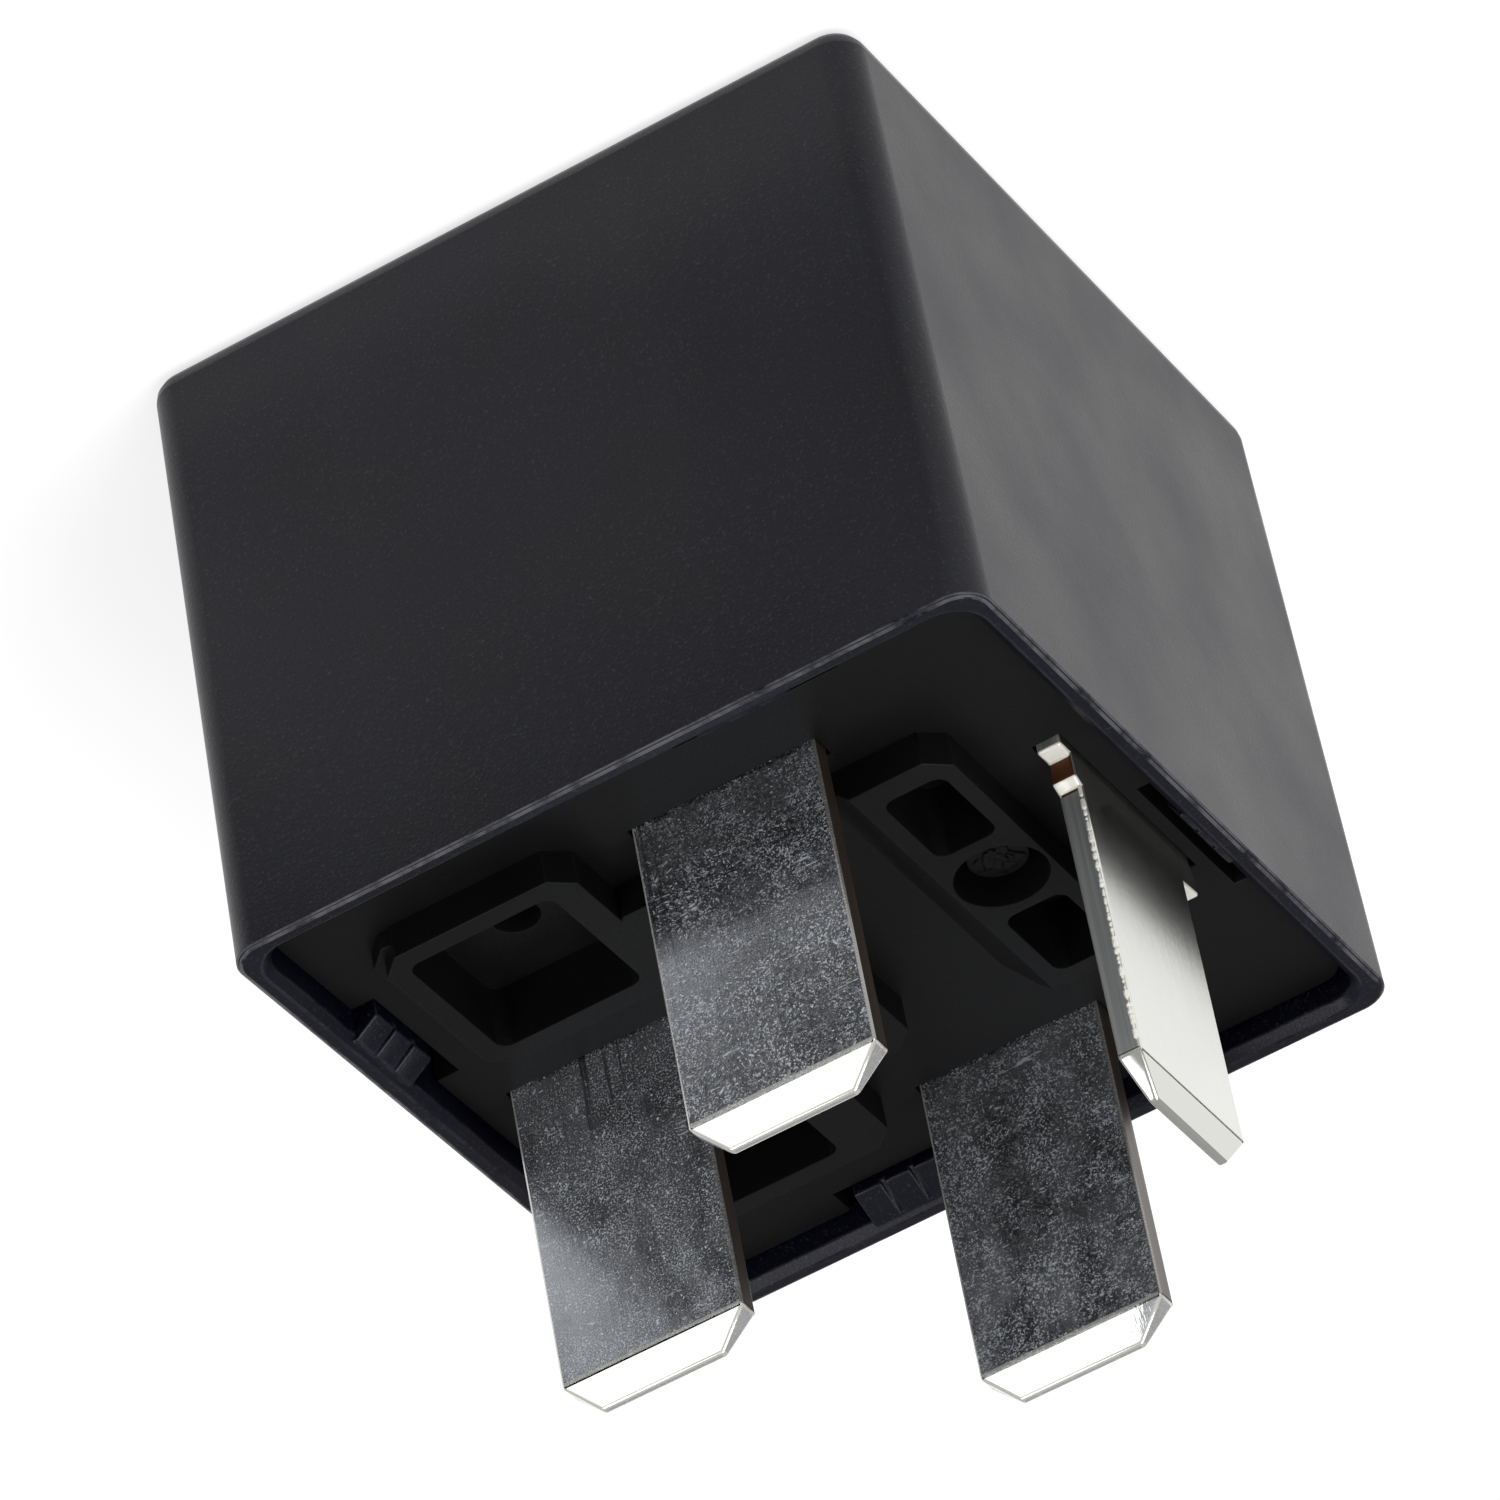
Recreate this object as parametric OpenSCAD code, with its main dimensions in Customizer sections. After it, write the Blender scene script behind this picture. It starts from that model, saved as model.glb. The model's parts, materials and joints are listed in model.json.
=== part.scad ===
// Plug-in automotive relay, normally open, with a snap-on cover and four blade terminals.
// The closed end of the cover stands on z = 0 and the terminals point up (+Z).
// X runs across the coil blades' flats, from the common terminal to the load terminal.

/* [Cover] */
// Width of the cover across X, at the open rim
body_w = 25.8; // [24.5:0.1:30]
// Depth of the cover across Y, at the open rim
body_d = 26.2; // [25.5:0.1:30]
// Height of the cover, from its closed end to the open rim
body_h = 22.5; // [22:0.1:27]
// Wall thickness of the cover's sides
cover_wall = 0.8; // [0.6:0.05:1]
// Thickness of the cover's closed end
cover_top = 1; // [0.8:0.05:1.2]
// How far each side leans in over the full height
cover_draft = 0.22; // [0:0.01:0.3]
// Radius of the four upright edges
edge_r = 1.1; // [0.9:0.05:1.5]
// Radius round the closed end
crown_r = 0.7; // [0.4:0.05:0.8]
// Chamfer on the inner edge of the rim
rim_chamfer = 0.3; // [0.1:0.05:0.4]
// Rounding of the outer edge of the rim
rim_round = 0.12; // [0.05:0.01:0.2]
// Width of each seat rib inside the cover
seat_rib_w = 1; // [0.6:0.1:1.4]
// How far each seat rib stands off the wall
seat_rib_t = 0.6; // [0.4:0.05:0.8]
// Distance of the seat ribs from the middle of each wall
seat_rib_off = 8.8; // [8.6:0.1:9.4]

/* [Snap latches] */
// Width of the wide latch tongues
tongue_w = 3.1; // [2:0.1:4]
// Height of a tongue below the rim
tongue_h = 2.1; // [1.8:0.1:2.2]
// Drop of the lead-in ramp on a wide tongue
tongue_ramp = 0.68; // [0.3:0.02:0.9]
// Width of the shallow grooves across a wide tongue
tongue_groove = 0.12; // [0.08:0.01:0.2]
// Clearance between a tongue and its slot
latch_gap = 0.15; // [0.1:0.01:0.25]
// Depth of a latch slot below the base's outer face
latch_slot_h = 1.35; // [1.2:0.05:1.5]

/* [Base] */
// Depth of the base's outer face below the rim
base_recess = 0.95; // [0.6:0.05:1.2]
// Thickness of the base plate
base_t = 2.05; // [1.8:0.05:2.4]
// Clearance between the base and the cover
base_gap = 0.15; // [0.08:0.01:0.2]
// Height of the raised bosses on the base's outer face
boss_h = 1.2; // [0.8:0.1:1.6]
// Chamfer on the corners of the raised bosses
boss_chamfer = 0.7; // [0.4:0.05:0.9]
// Depth of the pockets below the boss tops
pocket_depth = 2.15; // [1.6:0.05:2.4]
// Corner radius of the pockets
pocket_r = 0.4; // [0.2:0.05:0.6]
// Radius of the vent hole in the large pocket's floor
vent_r = 0.75; // [0.5:0.05:1]
// Radius of the round gate recess
gate_r = 1.46; // [1:0.02:1.6]
// Clearance round each terminal in its slot
slot_gap = 0.08; // [0.05:0.01:0.12]
// Width of the rails that hold the yoke plate
rail_w = 1; // [0.6:0.1:1.4]
// Height of the rails
rail_h = 1.2; // [0.8:0.1:1.4]

/* [Terminal blades] */
// Width of a blade
tab_w = 6.3; // [6:0.05:6.5]
// Thickness of the terminal sheet
tab_t = 0.8; // [0.7:0.05:0.85]
// Length of a blade past the cover's rim
tab_reach = 11.1; // [9:0.1:14]
// Length of the bevel that thins the tip
tab_bevel = 1.2; // [0.8:0.05:1.6]
// Thickness left at the tip
tab_tip_t = 0.3; // [0.2:0.05:0.5]
// Corner chamfer of the tip, across the width
tab_corner_w = 1.05; // [0.6:0.05:1.5]
// Corner chamfer of the tip, along the length
tab_corner_h = 1.15; // [0.6:0.05:1.6]
// Distance between the two coil blades, centre to centre
coil_tab_pitch = 17; // [16.8:0.05:17.4]
// X of the coil blades' centre from the coil's axis
coil_tab_off = -1.17; // [-1.6:0.01:-0.8]
// Room between the common terminal and the cover's wall
back_gap = 1.28; // [1.1:0.02:1.4]
// Height of the common blade's ears above the base
ear_h = 1.3; // [0.8:0.05:1.6]
// How far the common blade's long ear stands out
ear_w = 0.95; // [0.5:0.05:1.1]
// Width of the coil terminals' inner tails
tail_w = 3.2; // [2.4:0.1:4]
// Length of the coil terminals' inner tails
tail_h = 5.9; // [5:0.1:6.2]

/* [Magnet] */
// Height of the pole face and of the yoke's free end
pole_z = 5.2; // [5:0.05:5.4]
// Thickness of the yoke strip
yoke_t = 1.5; // [1.2:0.05:1.6]
// Width of the yoke strip
yoke_w = 11; // [9:0.1:11.6]
// Clearance between the yoke's plate and the load terminal
yoke_end_gap = 2.62; // [1.6:0.02:3.2]
// Outer bend radius of the yoke
yoke_bend_r = 1.8; // [1.6:0.1:2]
// Clearance between the yoke and the bobbin
bobbin_gap = 0.32; // [0.2:0.02:0.5]
// Ratio of the winding's outer radius to the core's radius
coil_ratio = 2.2; // [2:0.05:2.6]
// Shoulder from the core down to its riveted end
core_shoulder = 0.6; // [0.4:0.05:0.9]
// How far the pole head stands out past the core
pole_lip = 1.6; // [1:0.05:1.9]
// Thickness of the pole head
pole_t = 1; // [0.8:0.05:1.2]

/* [Coil] */
// Wall of the bobbin's tube
bobbin_wall = 0.9; // [0.6:0.05:1]
// Thickness of the bobbin's flanges
flange_t = 0.8; // [0.6:0.05:1]
// Room for the resistor, between the bobbin and the load terminal's column
resistor_room = 3.75; // [3.6:0.05:4.4]
// Half width of the flanges along Y
flange_y = 7.2; // [7:0.05:7.5]
// How far the flanges stand out past the winding
winding_margin = 0.4; // [0.3:0.05:1.4]
// Thickness of the tape round the winding
tape_t = 0.12; // [0.05:0.01:0.12]
// Bare length of winding left at each end of the tape
tape_margin = 1.1; // [0.6:0.1:1.6]
// Radius of the winding's lead wires
wire_r = 0.17; // [0.12:0.01:0.2]

/* [Armature and spring] */
// Thickness of the armature
armature_t = 1.2; // [1:0.05:1.3]
// Width of the armature
armature_w = 10.4; // [9:0.1:10.8]
// Distance of the armature's free edge from the contacts' centre
armature_back = 3.6; // [3.2:0.1:4.2]
// Gap that stays between the armature and the pole when closed
pole_gap = 0.05; // [0.03:0.01:0.08]
// Angle by which the released armature stands open
open_angle = 3.2; // [2.8:0.05:3.4]
// Thickness of the contact spring
spring_t = 0.3; // [0.2:0.01:0.3]
// Width of the contact spring on the armature
spring_w = 7; // [6:0.1:8]
// Width of the contact spring at its free end
spring_tip_w = 4.4; // [3.6:0.1:5]
// How far the contact spring reaches past the contacts' centre
spring_past = 1.8; // [1.6:0.05:2]
// Radius of the spring's bow behind the hinge
bow_r = 0.9; // [0.8:0.05:1]
// Lean of the bow's straight stretch
bow_lean = 35; // [30:1:40]
// Length of the spring's leg below the bow
spring_leg = 9.4; // [8.6:0.1:9.8]

/* [Contacts] */
// Distance of the contacts' centre from the load terminal's column
contact_back = 1.65; // [1.5:0.05:1.9]
// Radius of the moving contact's face
moving_r = 1.6; // [1.2:0.05:1.7]
// Thickness of the moving contact's face
moving_t = 0.8; // [0.6:0.05:0.9]
// Radius of the fixed contact's face
fixed_r = 1.75; // [1.4:0.05:1.9]
// Thickness of the fixed contact's face
fixed_t = 0.7; // [0.5:0.05:0.8]
// Gap left between the contacts when the armature is closed
contact_gap = 0.05; // [0.03:0.01:0.08]
// Radius of both contacts' shanks
contact_shank_r = 0.8; // [0.6:0.05:0.9]
// Width of the load terminal's inner column
column_w = 5; // [4:0.1:6]
// How far the contact arm reaches past the contacts' centre
arm_past = 1.65; // [1.6:0.05:1.8]
// Thickness of the armature stop's strip
stop_t = 0.6; // [0.5:0.05:0.6]
// Width of the armature stop's strip
stop_w = 3; // [2.4:0.1:4]
// Gap between the armature stop and the load terminal's column
stop_gap = 0.45; // [0.3:0.05:0.5]
// Room between the armature stop and the cover's wall
front_gap = 0.4; // [0.3:0.05:0.6]

/* [Rivets] */
// Radius of the yoke rivets
yoke_rivet_r = 1; // [0.8:0.05:1.2]
// Height of the rivets' heads
head_t = 0.35; // [0.25:0.05:0.4]
// Distance between the two yoke rivets
yoke_rivet_pitch = 4; // [3.4:0.1:4.6]
// Radius of the armature rivets
arm_rivet_r = 0.8; // [0.6:0.05:1]
// Distance between the two armature rivets
arm_rivet_pitch = 4.4; // [4:0.1:4.6]
// Distance of the armature rivets from the hinge
arm_rivet_off = 6.52; // [5.6:0.02:7.6]
// Height of the yoke rivets
yoke_rivet_z = 13.4; // [12.5:0.1:14.5]
// Clearance of a rivet in its hole
rivet_gap = 0.04; // [0.02:0.01:0.06]

/* [Resistor] */
// Radius of the resistor's body
resistor_r = 1.15; // [0.8:0.05:1.2]
// Length of the resistor's body
resistor_len = 6.6; // [5:0.1:8]
// Distance of the resistor's axis from the load terminal's column
resistor_back = 2.15; // [2:0.05:2.3]
// Drop of the resistor's axis below the fold of the load terminal
resistor_drop = 2.5; // [2.2:0.05:2.7]
// Radius of the resistor's leads
lead_r = 0.3; // [0.2:0.02:0.4]

/* [Hidden] */
$fn = 64;
eps = 0.01;
// Overlap that joins two shapes of one piece
fuse = 0.2;
// Extra length that a cutting tool runs past a face
over = 1;

// Heights, from the closed end up
base_face = body_h - base_recess;
base_inner = base_face - base_t;
tip_z = body_h + tab_reach;
cavity_x = body_w / 2 - cover_wall;
cavity_y = body_d / 2 - cover_wall;
base_x = cavity_x - base_gap;
base_y = cavity_y - base_gap;
base_r = edge_r - base_gap;

// Load side, from the cover's +X wall inwards: stop, column, blade, contacts, resistor
stop_x1 = cavity_x - front_gap;
stop_x0 = stop_x1 - stop_t;
column_x1 = stop_x0 - stop_gap;
column_x0 = column_x1 - tab_t;
load_tab_x = column_x1 - tab_w / 2;
contact_x = column_x0 - contact_back;
arm_x = contact_x - arm_past;
armature_x = contact_x - armature_back;
spring_x = contact_x + spring_past;
resistor_x = column_x0 - resistor_back;

// Hinge side, from the -X wall inwards: common terminal, spring leg and yoke are clamped together
common_x0 = -cavity_x + back_gap;
common_x1 = common_x0 + tab_t;
yoke_x = common_x1 + spring_t;
hinge_x = yoke_x;
arm_rivet_x = hinge_x + arm_rivet_off;

// The coil fills the room between them, or the room between the coil blades if that is less
flange_past = 0.2;
bobbin_x0 = yoke_x + max(yoke_t + bobbin_gap, yoke_bend_r);
flange_x = min((column_x0 - resistor_room - bobbin_x0) / 2, flange_y - flange_past);
coil_x = bobbin_x0 + flange_x;
winding_r = flange_x - winding_margin;
core_r = winding_r / coil_ratio;
core_end_r = core_r - core_shoulder;
pole_r = core_r + pole_lip;
coil_tab_x = coil_x + coil_tab_off;
load_inner_x = load_tab_x - 0.9;
yoke_len = load_inner_x - yoke_end_gap - yoke_x;

// Magnet stack
yoke_plate_z = base_inner - yoke_t;
upper_flange_z = pole_z + pole_t;
winding_z0 = upper_flange_z + flange_t;
winding_z1 = yoke_plate_z - flange_t;
bobbin_r = core_r + bobbin_wall;
tape_r = winding_r + tape_t;

common_tab_z = pole_z + 3.8;

// Armature stack, measured from the hinge edge with the armature closed
arm_face = -pole_gap;
arm_back = arm_face - armature_t;
spring_back = arm_back - spring_t;
arm_rear = 0.12;

// Contact pair
fixed_face = pole_z + arm_back + moving_t + contact_gap;
arm_z0 = fixed_face + fixed_t;
arm_z1 = arm_z0 + tab_t;
column_fold_z = base_inner - 2.6;
resistor_z = column_fold_z - resistor_drop;

// Stop strip, just clear of the open contact's rivet head
head_r = 1.2;
head_reach = contact_x - hinge_x;
open_head_z = pole_z - head_reach * sin(open_angle) + (spring_back - head_t) * cos(open_angle)
              - head_r * sin(open_angle);
stop_z1 = open_head_z - 0.05;
stop_z0 = stop_z1 - stop_t;
stop_reach = contact_x - 1.3;
stop_seat = 1.3;

// Raised bosses: [centre x, centre y, size x, size y], measured from the load blade, the coil
// blades and the common blade
boss_load = [load_tab_x - 1.28, -6.56, 6.7, 6.9];
boss_corner = [load_tab_x - 1.63, 5.28, 7.4, 6.18];
boss_middle = [coil_tab_x + 3.37, -1.27, 4.3, 11.44];
boss_coil = [common_x1 + 3.22, -1.05, 3.2, 12.34];
boss_slope = 1.2;
// Foot along the load boss: its reach past the boss, its step back from the boss's -Y flank, its height
ledge_w = 0.45;
ledge_in = 0.1;
ledge_h = 0.6;
// Pockets: [centre x, centre y, size x, size y]
pocket_load = [boss_load[0] + 0.14, -6.63, 5, 5.35];
pocket_corner = [boss_corner[0] + 0.49, 5.43, 5, 4.46];
pocket_middle = [boss_middle[0] - 0.2, -1.2, 2.3, 10.2];
pocket_a = [boss_coil[0] + 0.02, 2.72, 2.05, 3.4];
pocket_b = [boss_coil[0] - 0.02, -4.6, 2.05, 3.44];
gate_at = [boss_coil[0], -0.89];
gate_pin_r = 0.95;
gate_pin_drop = 0.7;

// Latches: [turn about z, tongue centre, tongue reach, slot centre, slot width, play behind the tongue]
latches = [
    [0, -5.4, 0.8, -4.9, 4.8, latch_gap],
    [90, -3.75, 1.1, -3.5, 4.8, latch_gap],
    [180, -2.25, 0.3, -2.78, 6.1, 3 * latch_gap],
    [270, -4.7, 0.3, -4.7, 5.6, 4 * latch_gap],
];

// Flat shapes ---------------------------------------------------------------------------------

// Rectangle about the origin with round corners
module round_rect(w, d, r) {
    union() {
        square([w - 2 * r, d], center = true);
        square([w, d - 2 * r], center = true);
        for (sx = [-1, 1], sy = [-1, 1])
            translate([sx * (w / 2 - r), sy * (d / 2 - r)]) circle(r = r);
    }
}

// Rectangle about the origin with chamfered corners
module chamfer_rect(w, d, c) {
    polygon([
        [-w / 2 + c, -d / 2], [w / 2 - c, -d / 2], [w / 2, -d / 2 + c], [w / 2, d / 2 - c],
        [w / 2 - c, d / 2], [-w / 2 + c, d / 2], [-w / 2, d / 2 - c], [-w / 2, -d / 2 + c],
    ]);
}

// A profile drawn in X and Z, extruded along Y about y = 0
module along_y(length) {
    translate([0, length / 2, 0]) rotate([90, 0, 0]) linear_extrude(height = length) children();
}

// A straight round wire from a to b
module wire_run(a, b, r) {
    d = b - a;
    length = norm(d);
    translate(a) rotate([0, acos(d[2] / length), atan2(d[1], d[0])]) cylinder(r = r, h = length);
}

// A wire through a list of points, with round joints a little proud of the runs
module wire(points, r) {
    for (i = [0 : len(points) - 2]) wire_run(points[i], points[i + 1], r);
    for (i = [1 : len(points) - 2]) translate(points[i]) sphere(r = 1.04 * r);
}

// Cover ---------------------------------------------------------------------------------------

// Half widths of the cover's outside at a height
function half_x(z) = body_w / 2 - cover_draft * (body_h - z) / body_h;
function half_y(z) = body_d / 2 - cover_draft * (body_h - z) / body_h;

// Hull of round-cornered levels, each [z, inset from the outside, corner radius]
module drafted_block(levels) {
    hull()
        for (level = levels, sx = [-1, 1], sy = [-1, 1])
            translate([
                sx * (half_x(level[0]) - level[1] - level[2]),
                sy * (half_y(level[0]) - level[1] - level[2]),
                level[0],
            ])
                cylinder(r = level[2], h = eps, $fn = 48);
}

// Levels of the round crown at the closed end
crown_levels = [
    for (a = [0 : 22.5 : 90])
        [crown_r * (1 - sin(a)), crown_r * (1 - cos(a)), edge_r - crown_r * (1 - cos(a))]
];

// One tongue, pointing in from the wall, with its ramp towards the rim
module latch_tongue(wall, reach, width) {
    difference() {
        along_y(width)
            polygon([
                [wall + fuse, body_h - rim_round], [wall, body_h - rim_round],
                [wall - reach, body_h - tongue_ramp], [wall - reach, body_h - tongue_h + reach / 2],
                [wall, body_h - tongue_h], [wall + fuse, body_h - tongue_h],
            ]);
        for (side = [-1, 1])
            translate([wall - reach, side * width / 6, body_h - tongue_ramp])
                rotate([0, atan2(-tongue_ramp, reach), 0])
                    cube([2 * over + reach, tongue_groove, 2 * tongue_groove], center = true);
    }
}

// Where a latch's wall stands: X walls for turns of 0 and 180, Y walls for the others
function latch_wall(latch) = latch[0] % 180 == 0 ? cavity_x : cavity_y;

module seat_ribs() {
    for (turn = [0, 90, 180, 270], side = [-1, 1])
        rotate([0, 0, turn])
            translate([
                (turn % 180 == 0 ? cavity_x : cavity_y) - seat_rib_t,
                side * seat_rib_off - seat_rib_w / 2,
                cover_top - fuse,
            ])
                cube([seat_rib_t + fuse, seat_rib_w, base_inner - cover_top + fuse]);
}

module cover() {
    color("#26282d") {
        difference() {
            drafted_block(concat(crown_levels, [
                [body_h - rim_round, 0, edge_r],
                [body_h - eps, rim_round, edge_r - rim_round],
            ]));
            drafted_block([
                [cover_top, cover_wall, base_r],
                [body_h, cover_wall, base_r],
            ]);
            drafted_block([for (rise = [-1.5 * rim_chamfer, fuse])
                [body_h + rise, cover_wall - rim_chamfer - rise, base_r + rim_chamfer + rise]]);
        }
        seat_ribs();
        for (latch = latches)
            rotate([0, 0, latch[0]])
                translate([0, latch[1], 0])
                    latch_tongue(latch_wall(latch), latch[2], tongue_w);
    }
}

// Base ----------------------------------------------------------------------------------------

// A boss, or a boss's foot, that stands on the base's outer face
module boss(at, h) {
    translate([at[0], at[1], base_face - fuse])
        linear_extrude(height = h + fuse) chamfer_rect(at[2], at[3], boss_chamfer);
}

// A pocket cut down from the boss tops
module pocket(at, depth) {
    translate([at[0], at[1], base_face + boss_h - depth])
        linear_extrude(height = depth + over) round_rect(at[2], at[3], pocket_r);
}

// The coil-side boss has one sloping flank, towards the coil blades
module sloped_boss() {
    intersection() {
        translate([boss_coil[0] + boss_slope / 2, boss_coil[1], base_face - fuse])
            linear_extrude(height = boss_h + fuse)
                chamfer_rect(boss_coil[2] + boss_slope, boss_coil[3], boss_chamfer);
        translate([boss_coil[0], boss_coil[1], base_face - fuse])
            along_y(boss_coil[3] + over)
                polygon([
                    [-boss_coil[2] / 2 - over, 0], [boss_coil[2] / 2 + boss_slope, 0],
                    [boss_coil[2] / 2 + boss_slope, fuse], [boss_coil[2] / 2, fuse + boss_h],
                    [-boss_coil[2] / 2 - over, fuse + boss_h],
                ]);
    }
}

// Opening for a terminal of the given section, through the whole base
module terminal_slot(x, y, size_x, size_y) {
    translate([
        x - size_x / 2 - slot_gap,
        y - size_y / 2 - slot_gap,
        base_inner - over,
    ])
        cube([size_x + 2 * slot_gap, size_y + 2 * slot_gap, base_t + boss_h + 2 * over]);
}

module latch_slot(latch) {
    depth = latch[2] + latch[5];
    rotate([0, 0, latch[0]])
        translate([latch_wall(latch) - depth, latch[3] - latch[4] / 2, base_face - latch_slot_h])
            cube([depth + over, latch[4], latch_slot_h + over]);
}

module base() {
    color("#232326")
        difference() {
            union() {
                translate([0, 0, base_inner])
                    linear_extrude(height = base_t) round_rect(2 * base_x, 2 * base_y, base_r);
                for (at = [boss_load, boss_corner, boss_middle]) boss(at, boss_h);
                boss([boss_load[0] + ledge_w, boss_load[1] + ledge_in, boss_load[2], boss_load[3]], ledge_h);
                sloped_boss();
                for (side = [-1, 1])
                    translate([
                        yoke_x + yoke_bend_r,
                        side * (yoke_w / 2 + slot_gap + rail_w / 2) - rail_w / 2,
                        base_inner - rail_h,
                    ])
                        cube([yoke_len - yoke_bend_r - 2 * rail_w, rail_w, rail_h + fuse]);
            }
            for (at = [pocket_load, pocket_corner]) pocket(at, pocket_depth);
            for (at = [pocket_middle, pocket_a, pocket_b]) pocket(at, pocket_depth + 0.4);
            translate([pocket_load[0], pocket_load[1], base_inner - over])
                cylinder(r = vent_r, h = base_t + over);
            difference() {
                translate([gate_at[0], gate_at[1], base_face + boss_h - pocket_depth])
                    cylinder(r = gate_r, h = pocket_depth + over);
                translate([gate_at[0], gate_at[1], base_face + boss_h - pocket_depth - fuse])
                    cylinder(r = gate_pin_r, h = pocket_depth - gate_pin_drop + fuse);
            }
            for (side = [-1, 1])
                terminal_slot(coil_tab_x, side * coil_tab_pitch / 2, tab_w, tab_t);
            terminal_slot(load_tab_x, 0, tab_w, tab_t);
            terminal_slot((common_x0 + common_x1) / 2, 0, tab_t, tab_w + 2 * ear_w);
            translate([stop_x0 - slot_gap, -stop_w / 2 - slot_gap, base_inner - over])
                cube([stop_t + 2 * slot_gap, stop_w + 2 * slot_gap, stop_seat + over]);
            for (latch = latches) latch_slot(latch);
        }
}

// Terminals -----------------------------------------------------------------------------------

// Outline of a blade's flat from height z0 to the tip, as points [across, height]
function blade_outline(z0, w) = [
    [-w / 2, z0], [w / 2, z0], [w / 2, tip_z - tab_corner_h], [w / 2 - tab_corner_w, tip_z],
    [-w / 2 + tab_corner_w, tip_z], [-w / 2, tip_z - tab_corner_h],
];

// Thickness profile of a blade from height z0 to the tip, as points [through, height]
function blade_profile(z0) = [
    [-tab_t / 2, z0], [tab_t / 2, z0], [tab_t / 2, tip_z - tab_bevel], [tab_tip_t / 2, tip_z],
    [-tab_tip_t / 2, tip_z], [-tab_t / 2, tip_z - tab_bevel],
];

// A blade across X, about x = 0 and y = 0, from height z0 to the tip
module blade(z0) {
    intersection() {
        along_y(tab_t) polygon(blade_outline(z0, tab_w));
        rotate([0, 0, 90]) along_y(tab_w) polygon(blade_profile(z0));
    }
}

// One coil terminal: blade, and a narrow forked tail inside
module coil_terminal(side) {
    tail_z = base_inner - tail_h;
    fork_w = 0.6;
    fork_h = 1;
    color("#b9bcc2")
        translate([coil_tab_x, side * coil_tab_pitch / 2, 0])
            difference() {
                union() {
                    blade(base_inner);
                    translate([-tail_w / 2, -tab_t / 2, tail_z])
                        cube([tail_w, tab_t, tail_h + fuse]);
                }
                translate([-fork_w / 2, -tab_t, tail_z - over])
                    cube([fork_w, 2 * tab_t, fork_h + over]);
            }
}

// The common blade stands across Y; its shank runs down the back of the yoke
module common_terminal() {
    shank_w = 8;
    shank_taper = 1.5;
    low_ear_h = 0.25;
    color("#b9bcc2")
        translate([(common_x0 + common_x1) / 2, 0, 0])
            difference() {
                rotate([0, 0, 90])
                    union() {
                        blade(base_inner);
                        along_y(tab_t)
                            polygon([
                                [-shank_w / 2 + shank_taper, common_tab_z],
                                [shank_w / 2 - shank_taper, common_tab_z],
                                [shank_w / 2, common_tab_z + shank_taper],
                                [shank_w / 2, base_inner - fuse],
                                [tab_w / 2 + ear_w, base_inner],
                                [tab_w / 2 + 0.8 * ear_w, base_face],
                                [tab_w / 2 + ear_w, base_face + ear_h - 0.1],
                                [tab_w / 2 - fuse, base_face + ear_h],
                                [-tab_w / 2 + fuse, base_face + ear_h + 0.1],
                                [-tab_w / 2 - 0.35, base_face + ear_h - 0.25],
                                [-tab_w / 2 - 0.35, base_face + low_ear_h],
                                [-tab_w / 2 - ear_w, base_face + low_ear_h],
                                [-tab_w / 2 - ear_w, base_inner],
                                [-shank_w / 2, base_inner - fuse],
                                [-shank_w / 2, common_tab_z + shank_taper],
                            ]);
                    }
                for (side = [-1, 1])
                    translate([-over, side * yoke_rivet_pitch / 2, yoke_rivet_z])
                        rotate([0, 90, 0]) cylinder(r = yoke_rivet_r + rivet_gap, h = 2 * over);
            }
}

// The load terminal folds twice: beside the blade, and over at the contact arm
module load_terminal() {
    fold_r = 0.3;
    flange_w = 2.5;
    blade_x0 = load_tab_x - tab_w / 2;
    color("#b9bcc2")
        difference() {
            union() {
                translate([load_tab_x, 0, 0]) blade(base_inner);
                // inner end of the blade, clear of the yoke
                translate([load_inner_x, -tab_t / 2, column_fold_z])
                    cube([column_x1 - load_inner_x, tab_t, base_inner - column_fold_z + fuse]);
                // flange folded off the blade's edge
                translate([column_x0, -tab_t / 2, column_fold_z - fuse])
                    cube([tab_t, tab_t / 2 + flange_w, base_inner - column_fold_z]);
                // column and contact arm
                along_y(column_w)
                    union() {
                        translate([column_x0, arm_z0 + tab_t])
                            square([tab_t, column_fold_z - arm_z0 - tab_t]);
                        translate([arm_x, arm_z0])
                            square([column_x1 - tab_t - fold_r - arm_x, tab_t]);
                        intersection() {
                            difference() {
                                translate([column_x0 - fold_r, arm_z1 + fold_r])
                                    circle(r = tab_t + fold_r);
                                translate([column_x0 - fold_r, arm_z1 + fold_r])
                                    circle(r = fold_r);
                            }
                            translate([column_x0 - fold_r, arm_z0])
                                square([tab_t + fold_r, tab_t + fold_r]);
                        }
                        translate([column_x0, arm_z1 + fold_r])
                            square([tab_t, fuse]);
                    }
            }
            translate([contact_x, 0, arm_z0 - over])
                cylinder(r = contact_shank_r, h = tab_t + 2 * over);
        }
}

// Magnet --------------------------------------------------------------------------------------

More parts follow.
